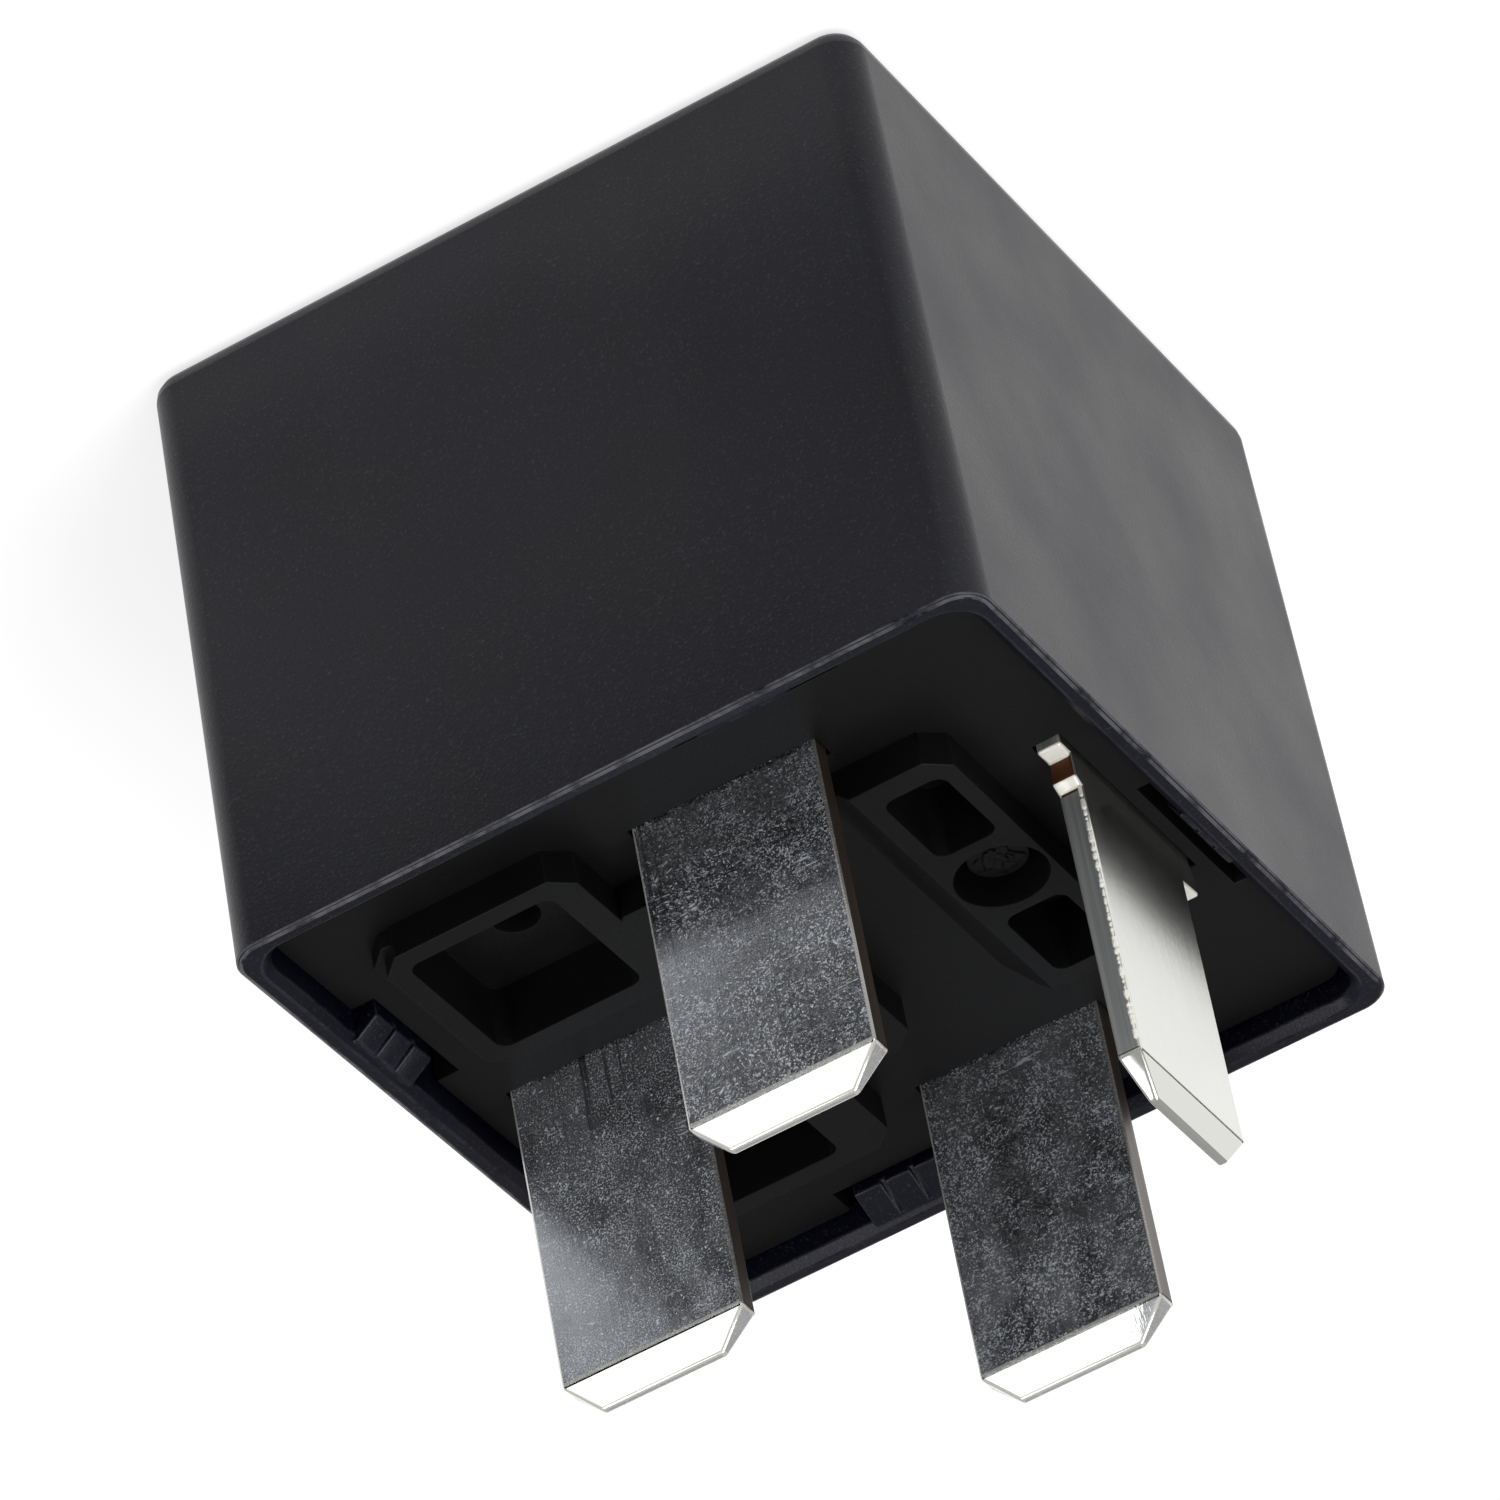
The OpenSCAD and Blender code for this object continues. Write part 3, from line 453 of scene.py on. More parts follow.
def begin_finish(name: str, ior: float = 1.5) -> tuple[bpy.types.Material, Sheet, bpy.types.Node]:
    """Starts a piece's material with its shader.

    Args:
        name: The material's name.
        ior: The index of refraction, set on the shader's own socket.

    Returns:
        The material, its sheet and its shader.
    """
    material, sheet = begin_material(name)
    shader = sheet.add("ShaderNodeBsdfPrincipled")
    shader.inputs["IOR"].default_value = ior
    end = sheet.add("ShaderNodeOutputMaterial")
    sheet.feed(end.inputs["Surface"], shader.outputs[0])
    return material, sheet, shader


def shade(colour: Colour, share: float) -> Colour:
    """Makes a colour darker or lighter by a share."""
    return tuple(share * c for c in colour)


@dataclass(frozen=True)
class PlasticFinish:
    """A moulded plastic: its colour, the paler tone of worn edges and grains, and its grain."""

    name: str
    colour: Colour
    pale: Colour
    roughness: float = 0.5
    ior: float = 1.3
    # Grains in a metre, how deep they are, and how far the palest take the pale tone
    grains: float = 9000.0
    grain_depth: float = 0.011 * MM
    speck: float = 0.6
    # How far the clouds change the colour, the noise that counts as cloud, and what it does to the roughness
    cloud: float = 0.25
    cloud_range: Span = (0.3, 0.7)
    cloud_rough: float = 0.05
    # How far the flow lines take the pale tone, and the noise that counts as a line
    flow: float = 0.3
    flow_range: Span = (0.55, 0.75)
    # How much of a worn edge is pale, and how many breaks it has in a metre
    wear: float = 0.5
    wear_breaks: float = 700.0

    def material(self, effects: Effects) -> bpy.types.Material:
        """Draws the material.

        Args:
            effects: The shared effects.

        Returns:
            The material.
        """
        made, sheet, shader = begin_finish(self.name, self.ior)
        grain = effects.put(sheet, effects.grain, Grains=self.grains)
        wear = effects.put(sheet, effects.wear, Cover=self.wear, Breaks=self.wear_breaks)["Wear"]
        tone = sheet.blend(sheet.span(grain["Cloud"], self.cloud_range),
                           shade(self.colour, 1.0 - self.cloud), shade(self.colour, 1.0 + self.cloud))
        streaked = sheet.blend(sheet.span(grain["Flow"], self.flow_range, (0.0, self.flow)), tone, self.pale)
        specked = sheet.blend(sheet.times(grain["Speck"], self.speck), streaked, self.pale)
        sheet.feed(shader.inputs["Base Color"], sheet.blend(wear, specked, self.pale))
        rough_range = (self.roughness - self.cloud_rough, self.roughness + self.cloud_rough)
        sheet.feed(shader.inputs["Roughness"], sheet.span(grain["Cloud"], self.cloud_range, rough_range))
        sheet.feed(shader.inputs["Normal"], sheet.bump(grain["Height"], self.grain_depth))
        return made


@dataclass(frozen=True)
class TinFinish:
    """Tin plating on stamped sheet: dull film, pale crystals, scratches, and edges where the die cut it."""

    name: str
    # Bare plating, its film, and the marked faces in the order in which they cover one another
    colour: Colour = (0.52, 0.54, 0.58)
    film: Colour = (0.82, 0.86, 0.92)
    cut: Colour = (0.065, 0.048, 0.038)
    coined: Colour = (0.95, 0.95, 0.93)
    # Pale rubbed edges, partly wear and partly a painted highlight
    burnished_sheen: Colour = (0.80, 0.77, 0.66)
    stain: Colour = (0.10, 0.035, 0.015)
    # Pale ripped metal, a painted glint on the ear tops and burr beads
    torn_glint: Colour = (0.84, 0.82, 0.75)
    # The bare plating's roughness, and what film and a cut edge add to it and coining takes away
    roughness: float = 0.15
    film_rough: float = 0.35
    cut_rough: float = 0.15
    coined_smooth: float = 0.18
    # Grains in a metre, and how deep they are
    grains: float = 15000.0
    grain_depth: float = 0.003 * MM
    # The even film, and the hazy clouds that grow between two heights
    film_share: float = 0.02
    blotches: float = 700.0
    haze_share: float = 0.12
    haze_height: Span = (22.0 * MM, 32.0 * MM)
    haze_growth: Span = (0.35, 1.0)
    haze_range: Span = (0.38, 0.68)
    haze_stretch: Triple = (1.0, 1.0, 0.5)
    # The pale crystals, the patches in which they lie densest, the bright points painted as sparkle glints,
    # and the scratches
    crystal_share: float = 0.55
    crystal_range: Span = (0.49, 0.66)
    crystal_patches: Span = (0.38, 0.62)
    crystal_density: Span = (0.3, 1.0)
    glint_point_share: float = 0.7
    glint_point_share_of_grains: float = 0.6
    glint_point_range: Span = (0.68, 0.74)
    scratch_share: float = 0.5
    # The rubbed edges, pale partly from wear and partly as a painted highlight: how bright they are, how much
    # of them shows, and their breaks in a metre
    edge_sheen_share: float = 0.45
    edge_wear: float = 0.6
    edge_breaks: float = 2500.0
    # The cut edge: how metallic it is, and its darkest and palest lines. Ripped metal, painted pale as a
    # glint, is dull by a share
    cut_metal: float = 0.6
    cut_tones: Span = (0.85, 1.2)
    cut_range: Span = (0.35, 0.65)
    torn_glint_dull: float = 0.8
    # Marks that a socket wiped through the film, from the root to where they fade, and their depth
    wiped: float = 0.5
    wiped_fade: Span = (1.3, -0.4)
    wiped_tone: float = 0.35
    mark_depth: float = 0.002 * MM

    def material(self, effects: Effects) -> bpy.types.Material:
        """Draws the material.

        Args:
            effects: The shared effects.

        Returns:
            The material.
        """
        made, sheet, shader = begin_finish(self.name)
        where = sheet.place()
        cut, coined = sheet.mark(Mark.CUT), sheet.mark(Mark.COINED)
        # The ripped-metal mark carries a painted glint
        torn_glint, stain = sheet.mark(Mark.TORN_GLINT), sheet.mark(Mark.STAIN)
        flat = sheet.math("SUBTRACT", 1.0, sheet.math("MAXIMUM", cut, coined))
        marks = effects.put(sheet, effects.marks)
        height = sheet.add("ShaderNodeSeparateXYZ")
        sheet.feed(height.inputs[0], where)
        worn = sheet.span(height.outputs["Z"], self.haze_height, self.haze_growth)
        near_root = sheet.span(height.outputs["Z"], self.haze_height, self.wiped_fade)
        dragged = sheet.math("MULTIPLY", marks["Mark"], sheet.times(near_root, self.wiped), clamp=True)
        dust = self.dust(effects, sheet, where, worn)
        dulled = sheet.times(dust, flat, sheet.math("SUBTRACT", 1.0, dragged))
        # Rubbed edges painted pale, partly wear and partly a painted highlight
        edge = effects.put(sheet, effects.wear, Cover=self.edge_wear, Breaks=self.edge_breaks)
        wear = sheet.times(edge["Wear"], self.edge_sheen_share)

        face = sheet.blend(dulled, self.colour, self.film)
        face = sheet.blend(dragged, face, shade(self.colour, self.wiped_tone))
        darkest, palest = (shade(self.cut, tone) for tone in self.cut_tones)
        sheared = sheet.blend(sheet.span(marks["Height"], self.cut_range), darkest, palest)
        # The ripped-metal mask paints a pale glint
        for mask, paint in ((cut, sheared), (coined, self.coined), (wear, self.burnished_sheen),
                            (stain, self.stain), (torn_glint, self.torn_glint)):
            face = sheet.blend(mask, face, paint)
        sheet.feed(shader.inputs["Base Color"], face)

        dull = sheet.math("ADD", dulled, sheet.times(cut, 1.0 - self.cut_metal))
        dull = sheet.math("MAXIMUM", sheet.math("MAXIMUM", dull, wear), sheet.times(torn_glint, self.torn_glint_dull))
        sheet.feed(shader.inputs["Metallic"], sheet.math("SUBTRACT", 1.0, dull, clamp=True))
        rough = sheet.math("ADD", sheet.times(dulled, self.film_rough), sheet.times(cut, self.cut_rough))
        pressed = sheet.math("SUBTRACT", sheet.math("ADD", rough, self.roughness),
                             sheet.times(coined, self.coined_smooth))
        sheet.feed(shader.inputs["Roughness"], pressed)
        drawn = sheet.bump(marks["Height"], self.mark_depth)
        grain = sheet.times(sheet.noise(where, self.grains, Texture.PITTED), flat)
        sheet.feed(shader.inputs["Normal"], sheet.bump(grain, self.grain_depth, drawn))
        return made

    def dust(self, effects: Effects, sheet: Sheet, where: Socket, worn: Socket) -> Socket:
        """Adds up what dulls the plating: film, haze, pale crystals, scratches, and pale points painted as
        sparkle glints.

        Args:
            effects: The shared effects.
            sheet: The material's sheet.
            where: The piece's coordinates.
            worn: How hazy the plating has become with its height.

        Returns:
            How dull each point is, from 0 to 1.
        """
        patches = sheet.noise(where, self.blotches, Texture.BLOTCHED)
        density = sheet.span(patches, self.crystal_patches, self.crystal_density)
        grain = sheet.span(sheet.noise(where, self.grains, Texture.GRITTY), self.crystal_range)
        # Pale points painted as sparkle glints
        glint_dots = sheet.noise(where, self.glint_point_share_of_grains * self.grains, Texture.SMOOTH)
        points = sheet.span(glint_dots, self.glint_point_range)
        clouds = sheet.noise(sheet.place(self.haze_stretch), self.blotches, Texture.HAZY)
        haze = sheet.span(clouds, self.haze_range)
        nick = effects.put(sheet, effects.scratches)["Scratch"]
        film = sheet.math("ADD", sheet.times(haze, worn, self.haze_share), self.film_share)
        crystals = sheet.times(grain, density, self.crystal_share)
        glints_and_scratches = sheet.math("MAXIMUM", sheet.times(points, self.glint_point_share),
                           sheet.times(nick, self.scratch_share))
        return sheet.math("MAXIMUM", sheet.math("ADD", film, crystals), glints_and_scratches)


@dataclass(frozen=True)
class MetalFinish:
    """A plain metal: its colour, the dull tone of its film, and the grain left by rolling."""

    name: str
    colour: Colour
    dull: Colour
    roughness: float = 0.3
    grains: float = 2500.0
    grain_depth: float = 0.002 * MM
    cloud: float = 400.0
    film_range: Span = (0.35, 0.65)
    film_rough: float = 0.12
    lines: float = 3000.0
    line_patches: float = 500.0
    line_rough: float = 0.15
    wear: float = 0.45
    wear_breaks: float = 1200.0
    wear_tone: float = 1.15

    def material(self, effects: Effects) -> bpy.types.Material:
        """Draws the material.

        Args:
            effects: The shared effects.

        Returns:
            The material.
        """
        made, sheet, shader = begin_finish(self.name)
        grain = effects.put(sheet, effects.grain, Grains=self.grains, Cloud=self.cloud)
        marks = effects.put(sheet, effects.marks, Lines=self.lines, Patches=self.line_patches)
        wear = effects.put(sheet, effects.wear, Cover=self.wear, Breaks=self.wear_breaks)["Wear"]
        film = sheet.span(grain["Cloud"], self.film_range)
        tone = sheet.blend(film, self.colour, self.dull)
        sheet.feed(shader.inputs["Base Color"], sheet.blend(wear, tone, shade(self.colour, self.wear_tone)))
        shader.inputs["Metallic"].default_value = 1.0
        worn = sheet.times(marks["Mark"], self.line_rough)
        rough = sheet.span(film, (0.0, 1.0), (self.roughness, self.roughness + self.film_rough))
        sheet.feed(shader.inputs["Roughness"], sheet.math("ADD", rough, worn))
        sheet.feed(shader.inputs["Normal"], sheet.bump(grain["Height"], self.grain_depth))
        return made


@dataclass(frozen=True)
class BandedFinish:
    """A dipped coat with painted bands round a body that lies along Y."""

    name: str
    colour: Colour
    bands: tuple[Colour, ...]
    first: float
    pitch: float
    width: float
    grains: float = 2500.0
    grain_depth: float = 0.004 * MM
    cloud: float = 500.0
    cloud_range: Span = (0.3, 0.7)
    cloud_tones: Span = (0.85, 1.1)
    cloud_rough: Span = (0.35, 0.5)

    def material(self, effects: Effects) -> bpy.types.Material:
        """Draws the material.

        Args:
            effects: The shared effects.

        Returns:
            The material.
        """
        made, sheet, shader = begin_finish(self.name)
        across = sheet.add("ShaderNodeSeparateXYZ")
        sheet.feed(across.inputs[0], sheet.add("ShaderNodeTexCoord").outputs["Object"])
        grain = effects.put(sheet, effects.grain, Grains=self.grains, Cloud=self.cloud)
        darkest, palest = (shade(self.colour, tone) for tone in self.cloud_tones)
        tone = sheet.blend(sheet.span(grain["Cloud"], self.cloud_range), darkest, palest)
        for count, paint in enumerate(self.bands):
            inside = sheet.add("ShaderNodeMath", operation="COMPARE")
            sheet.feed(inside.inputs[0], across.outputs["Y"])
            inside.inputs[1].default_value = self.first + count * self.pitch
            inside.inputs[2].default_value = self.width / 2
            tone = sheet.blend(inside.outputs[0], tone, paint)
        sheet.feed(shader.inputs["Base Color"], tone)
        sheet.feed(shader.inputs["Roughness"], sheet.span(grain["Cloud"], self.cloud_range, self.cloud_rough))
        sheet.feed(shader.inputs["Normal"], sheet.bump(grain["Height"], self.grain_depth))
        return made


# Mesh work -----------------------------------------------------------------------------------


FaceTest = Callable[[bmesh.types.BMFace], float]


def add_object(name: str, data: bpy.types.ID) -> bpy.types.Object:
    """Makes an object of a mesh, a lamp or a camera and puts it in the scene.

    Args:
        name: The object's name.
        data: What it shows.

    Returns:
        The new object.
    """
    made = bpy.data.objects.new(name, data)
    bpy.context.scene.collection.objects.link(made)
    return made


class Blank:
    """A bmesh on its way to becoming a finished piece."""

    MERGE = 0.0005 * MM
    FLAT = math.radians(0.5)
    CRISP = math.radians(32.0)
    LUMP_PATTERN = 2.6

    def __init__(self, node: str) -> None:
        """Starts from a merged copy of a node's solid, with its flat faces whole.

        Args:
            node: The node to copy.
        """
        self.bm = bmesh.new()
        self.bm.from_mesh(frame["nodes"][node].data)
        bmesh.ops.remove_doubles(self.bm, verts=self.bm.verts, dist=self.MERGE)
        bmesh.ops.dissolve_limit(
            self.bm, angle_limit=self.FLAT, use_dissolve_boundaries=False,
            verts=self.bm.verts[:], edges=self.bm.edges[:], delimit=set())
        for mark in Mark:
            self.bm.faces.layers.float.new(mark.value)

    def mark(self, mark: Mark, test: FaceTest, faces: list[bmesh.types.BMFace] | None = None) -> None:
        """Marks faces by what a test says of each.

        Args:
            mark: The mark to write.
            test: Gives a face's value, from 0 to 1.
            faces: The faces to mark, or all of them.
        """
        layer = self.bm.faces.layers.float[mark.value]
        for face in self.bm.faces if faces is None else faces:
            face[layer] = test(face)

    def edges(self, least_angle: float = 30.0, convex_only: bool = True) -> list[bmesh.types.BMEdge]:
        """Finds the edges whose faces turn sharply.

        Args:
            least_angle: The smallest turn in degrees.
            convex_only: Whether inner corners are left out.

        Returns:
            The edges.
        """
        limit = math.radians(least_angle)
        return [e for e in self.bm.edges if e.is_manifold and e.calc_face_angle(0.0) >= limit
                and (e.is_convex or not convex_only)]

    def soften(self, edges: list[bmesh.types.BMEdge], radius: float, segments: int = 2,
               wear: FaceTest = lambda face: 1.0) -> list[bmesh.types.BMFace]:
        """Rounds edges and marks how far their new faces wear.

        Args:
            edges: The edges to round.
            radius: How far the rounding reaches on each side.
            segments: How many strips it has.
            wear: Gives a new face's wear.

        Returns:
            The new faces.
        """
        made = bmesh.ops.bevel(
            self.bm, geom=edges, offset=radius, offset_type="OFFSET", segments=segments, profile=0.5,
            affect="EDGES", clamp_overlap=False, loop_slide=True, material=-1)
        self.mark(Mark.WEAR, wear, made["faces"])
        return made["faces"]

    def lump(self, place: Vector, size: Vector, level: int, rough: float = 0.0,
             seed: float = 0.0) -> list[bmesh.types.BMFace]:
        """Adds a closed rounded lump.

        Args:
            place: Its centre.
            size: Its half size along each axis.
            level: How finely it is divided.
            rough: How far its surface strays, as a share of its size.
            seed: Moves the pattern by which it strays.

        Returns:
            The lump's faces.
        """
        shape = Matrix.Translation(place) @ Matrix.Diagonal((*size, 1.0))
        made = bmesh.ops.create_icosphere(self.bm, subdivisions=level, radius=1.0)
        for vert in made["verts"]:
            stray = noise.noise(self.LUMP_PATTERN * vert.co + Vector((seed, 0.0, 0.0)))
            vert.co *= 1.0 + rough * stray
        bmesh.ops.transform(self.bm, matrix=shape, verts=made["verts"])
        return list({face for vert in made["verts"] for face in vert.link_faces})

    def piece(self, name: str, body: Body, slot: Slot, material: bpy.types.Material, node: str) -> None:
        """Makes the blank an object, shades it, dresses it and seats it on its body.

        Args:
            name: The piece's name.
            body: The body that it rides on.
            slot: The record's slot for its finish; not used.
            material: Its finish.
            node: The node that it stands for.
        """
        made = self.shape(name, material)
        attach(made, body.value)
        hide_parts(node)

    def shape(self, name: str, material: bpy.types.Material) -> bpy.types.Object:
        """Makes the blank an object with its finish and even shading.

        Args:
            name: The object's name.
            material: Its finish.

        Returns:
            The new object.
        """
        mesh = bpy.data.meshes.new(name)
        self.bm.to_mesh(mesh)
        self.bm.free()
        mesh.materials.append(material)
        mesh.polygons.foreach_set("use_smooth", [True] * len(mesh.polygons))
        mesh.set_sharp_from_angle(angle=self.CRISP)
        made = add_object(name, mesh)
        even = made.modifiers.new("even_shading", "WEIGHTED_NORMAL")
        even.keep_sharp = True
        log.info("%s: %d faces, %s", name, len(mesh.polygons), material.name)
        return made


def rounded(name: str, body: Body, slot: Slot, material: bpy.types.Material, node: str,
            radius: float, segments: int = 2) -> None:
    """Makes a piece of a node's solid with its outer edges rounded.

    Args:
        name: The piece's name.
        body: The body that it rides on.
        slot: The record's slot for its finish, handed on to the piece.
        material: Its finish.
        node: The node that it stands for.
        radius: How far the rounding reaches.
        segments: How many strips it has.
    """
    blank = Blank(node)
    blank.soften(blank.edges(), radius, segments)
    blank.piece(name, body, slot, material, node)


def dress(node: str, material: bpy.types.Material) -> None:
    """Gives a carried-over node its finish.

    Args:
        node: The node, whose mesh stays as it is.
        material: Its finish.
    """
    held = frame["nodes"][node]
    held.data.materials.clear()
    held.data.materials.append(material)
    log.info("%s: dressed, %s", node, material.name)


# Sub-assemblies ------------------------------------------------------------------------------


@dataclass
class Housing:
    """The snap-on cover and the moulded base that closes it."""

    cover_round: float = 0.06 * MM
    base_round: float = 0.045 * MM
    sharp_angle: float = 34.0
    rim_band: float = 0.5 * MM
    rim_width: float = 0.35 * MM
    inner_wear: float = 0.12
    boss_wear: float = 0.08
    gate_from_common: float = 3.22 * MM
    gate_y: float = -0.89 * MM
    gate_drop: float = 0.7 * MM
    scar_size: float = 0.62 * MM
    scar_height: float = 0.14 * MM
    scar_level: int = 5
    scar_rough: float = 0.6
    scar_seed: float = 4.0

    def build(self, cover: bpy.types.Material, base: bpy.types.Material) -> None:
        """Makes both mouldings.

        Args:
            cover: The cover's finish.
            base: The base's finish.
        """
        self.build_cover(cover)
        self.build_base(base)

    def build_cover(self, material: bpy.types.Material) -> None:
        """Makes the cover, whose outer rim edge has taken the knocks.

        Args:
            material: Its finish.
        """
        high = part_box("cover")[1]

        def wear(face: bmesh.types.BMFace) -> float:
            """Gives the outer rim edge full wear, and other edges little.

            Args:
                face: A face of a rounded edge.

            Returns:
                Its wear, from 0 to 1.
            """
            at = face.calc_center_median()
            by_rim = at.z > high.z - self.rim_band
            outside = min(high.x - abs(at.x), high.y - abs(at.y)) < self.rim_width
            return 1.0 if by_rim and outside else self.inner_wear

        shell = Blank("cover")
        shell.soften(shell.edges(self.sharp_angle), self.cover_round, wear=wear)
        shell.piece("snap_cover", Body.HOUSING, Slot.COVER, material, "cover")

    def build_base(self, material: bpy.types.Material) -> None:
        """Makes the base, with the torn scar on its moulding gate.

        Args:
            material: Its finish.
        """
        plate = Blank("base")
        plate.soften(plate.edges(self.sharp_angle), self.base_round, wear=lambda face: self.boss_wear)
        gate_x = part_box("common_terminal")[1].x + self.gate_from_common
        gate = Vector((gate_x, self.gate_y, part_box("base")[1].z - self.gate_drop))
        scar = Vector((self.scar_size, self.scar_size, self.scar_height))
        plate.lump(gate, scar, self.scar_level, self.scar_rough, self.scar_seed)
        plate.piece("moulded_base", Body.HOUSING, Slot.BASE, material, "base")


@dataclass
class Terminals:
    """The four stamped and tinned terminals."""

    edge_round: float = 0.09 * MM
    sharp_angle: float = 10.0
    # How far a face's normal lies along the thickness: less on a cut edge, more on a flat, between on a bevel
    cut_share: float = 0.6
    flat_share: float = 0.995
    # The rise of a normal past which a face belongs to the tip, and how far coining marks that face
    tip_slope: float = 0.3
    tip_coined: float = 0.5
    pressed_cut: float = 0.35
    tab_half: float = 3.15 * MM
    # The ears beside the common blade's root, and the slopes of their ripped tops, painted pale as a glint,
    # and of their stained side
    boss_height: float = 1.2 * MM
    low_ear: float = 0.3 * MM
    ear_zone: float = 2.2 * MM
    ear_top_slope: float = 0.3
    ear_side_slope: float = 0.5
    # The beads of the burr, with their sizes and lengths as shares of the usual one
    burr_beads: int = 60
    burr_seed: int = 11
    burr_size: float = 0.075 * MM
    burr_sizes: Span = (0.5, 1.3)
    burr_lengths: Span = (1.0, 2.2)
    burr_sink: float = 0.09 * MM
    burr_top: float = 1.6 * MM

    def build(self, tin: bpy.types.Material, paler_against_shade: bpy.types.Material, bright: bpy.types.Material) -> None:
        """Makes the terminals.

        Args:
            tin: The plating of the first coil terminal, with a bare cut edge and less film, painted darker
                than the copy on the shaded blades.
            paler_against_shade: The same plating, duller, with more film, painted paler against the shade
                that falls on the other coil terminal and the load terminal.
            bright: The plating of the common terminal, whose edges are plated too.
        """
        for node, finish in (("coil_terminal_a", tin), ("coil_terminal_b", paler_against_shade), ("load_terminal", paler_against_shade)):
            name = node.replace("terminal", "blade")
            self.terminal(node, thin=1).piece(name, Body.HOUSING, Slot.TINNED, finish, node)
        common = self.terminal("common_terminal", thin=0)
        self.ears(common)
        self.burr(common)
        common.piece("common_blade", Body.HOUSING, Slot.TINNED, bright, "common_terminal")

    def terminal(self, node: str, thin: int) -> Blank:
        """Copies a terminal, marks its cut faces and coined tip, and softens its edges.

        Args:
            node: The terminal's node.
            thin: The axis that runs through its thickness.

        Returns:
            The blank.
        """
        blank = Blank(node)
        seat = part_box("base")[1].z

        def cut(face: bmesh.types.BMFace) -> float:
            """Marks the sheet's edge, less where the tip's coining pressed it.

            Args:
                face: A face of the terminal.

            Returns:
                How far it is a cut edge, from 0 to 1.
            """
            if abs(face.normal[thin]) > self.cut_share:
                return 0.0
            return self.pressed_cut if face.normal.z > self.tip_slope else 1.0

        def coined(face: bmesh.types.BMFace) -> float:
            """Marks the tip's bevels, and its corners and end in part.

            Args:
                face: A face of the terminal.

            Returns:
                How far it is coined, from 0 to 1.
            """
            if face.calc_center_median().z < seat or abs(face.normal[thin]) > self.flat_share:
                return 0.0
            if abs(face.normal[thin]) > self.cut_share:
                return 1.0
            return self.tip_coined if face.normal.z > self.tip_slope else 0.0

        blank.mark(Mark.CUT, cut)
        blank.mark(Mark.COINED, coined)
        # Every rounded strip is marked as a rubbed edge, which the plating paints pale, partly as a highlight
        strips = blank.soften(blank.edges(self.sharp_angle, convex_only=False), self.edge_round)
        # On the thin blades the strips on the −X side take more of the dark cut tone and less of the pale
        # rubbed edge: painted shade on that side
        if thin == 1:
            shaded_side = [face for face in strips
                         if face.normal.x < -self.tip_slope and face.normal.z < self.tip_slope]
            blank.mark(Mark.CUT, lambda face: 1.0 - self.pressed_cut, shaded_side)
            blank.mark(Mark.WEAR, lambda face: self.pressed_cut, shaded_side)
        return blank

    def ears(self, blank: Blank) -> None:
        """Marks the ripped tops of the common blade's ears, painted pale as a glint, and the brown stain on
        the near one.

        Args:
            blank: The common blade.
        """
        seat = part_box("base")[1].z - self.boss_height

        def torn_glint(face: bmesh.types.BMFace) -> float:
            """Marks the upward faces beside the blade's root, for a painted glint."""
            in_zone = seat < face.calc_center_median().z < seat + self.ear_zone
            return 1.0 if in_zone and face.normal.z > self.ear_top_slope else 0.0

        def stained(face: bmesh.types.BMFace) -> float:
            """Marks the near ear's upright edge.

            Args:
                face: A face of the common blade.

            Returns:
                How far it is stained, from 0 to 1.
            """
            at = face.calc_center_median()
            near = at.y < -self.tab_half and seat + self.low_ear < at.z < seat + self.ear_zone
            return 1.0 if near and face.normal.y < -self.ear_side_slope else 0.0

        blank.mark(Mark.TORN_GLINT, torn_glint)
        blank.mark(Mark.STAIN, stained)

    def burr(self, blank: Blank) -> None:
        """Adds the row of small beads that the die left along the common blade's near edge, painted pale as
        glints.

        Args:
            blank: The common blade.
        """
        low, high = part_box("common_terminal")
        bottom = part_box("base")[1].z
        top = high.z - self.burr_top
        dice = random.Random(self.burr_seed)
        for count in range(self.burr_beads):
            z = bottom + (count + dice.random()) / self.burr_beads * (top - bottom)
            size = self.burr_size * dice.uniform(*self.burr_sizes)
            at = Vector((low.x + self.burr_sink, -self.tab_half, z))
            bead = Vector((size, size, size * dice.uniform(*self.burr_lengths)))
            blank.mark(Mark.TORN_GLINT, lambda face: 1.0, blank.lump(at, bead, level=1))


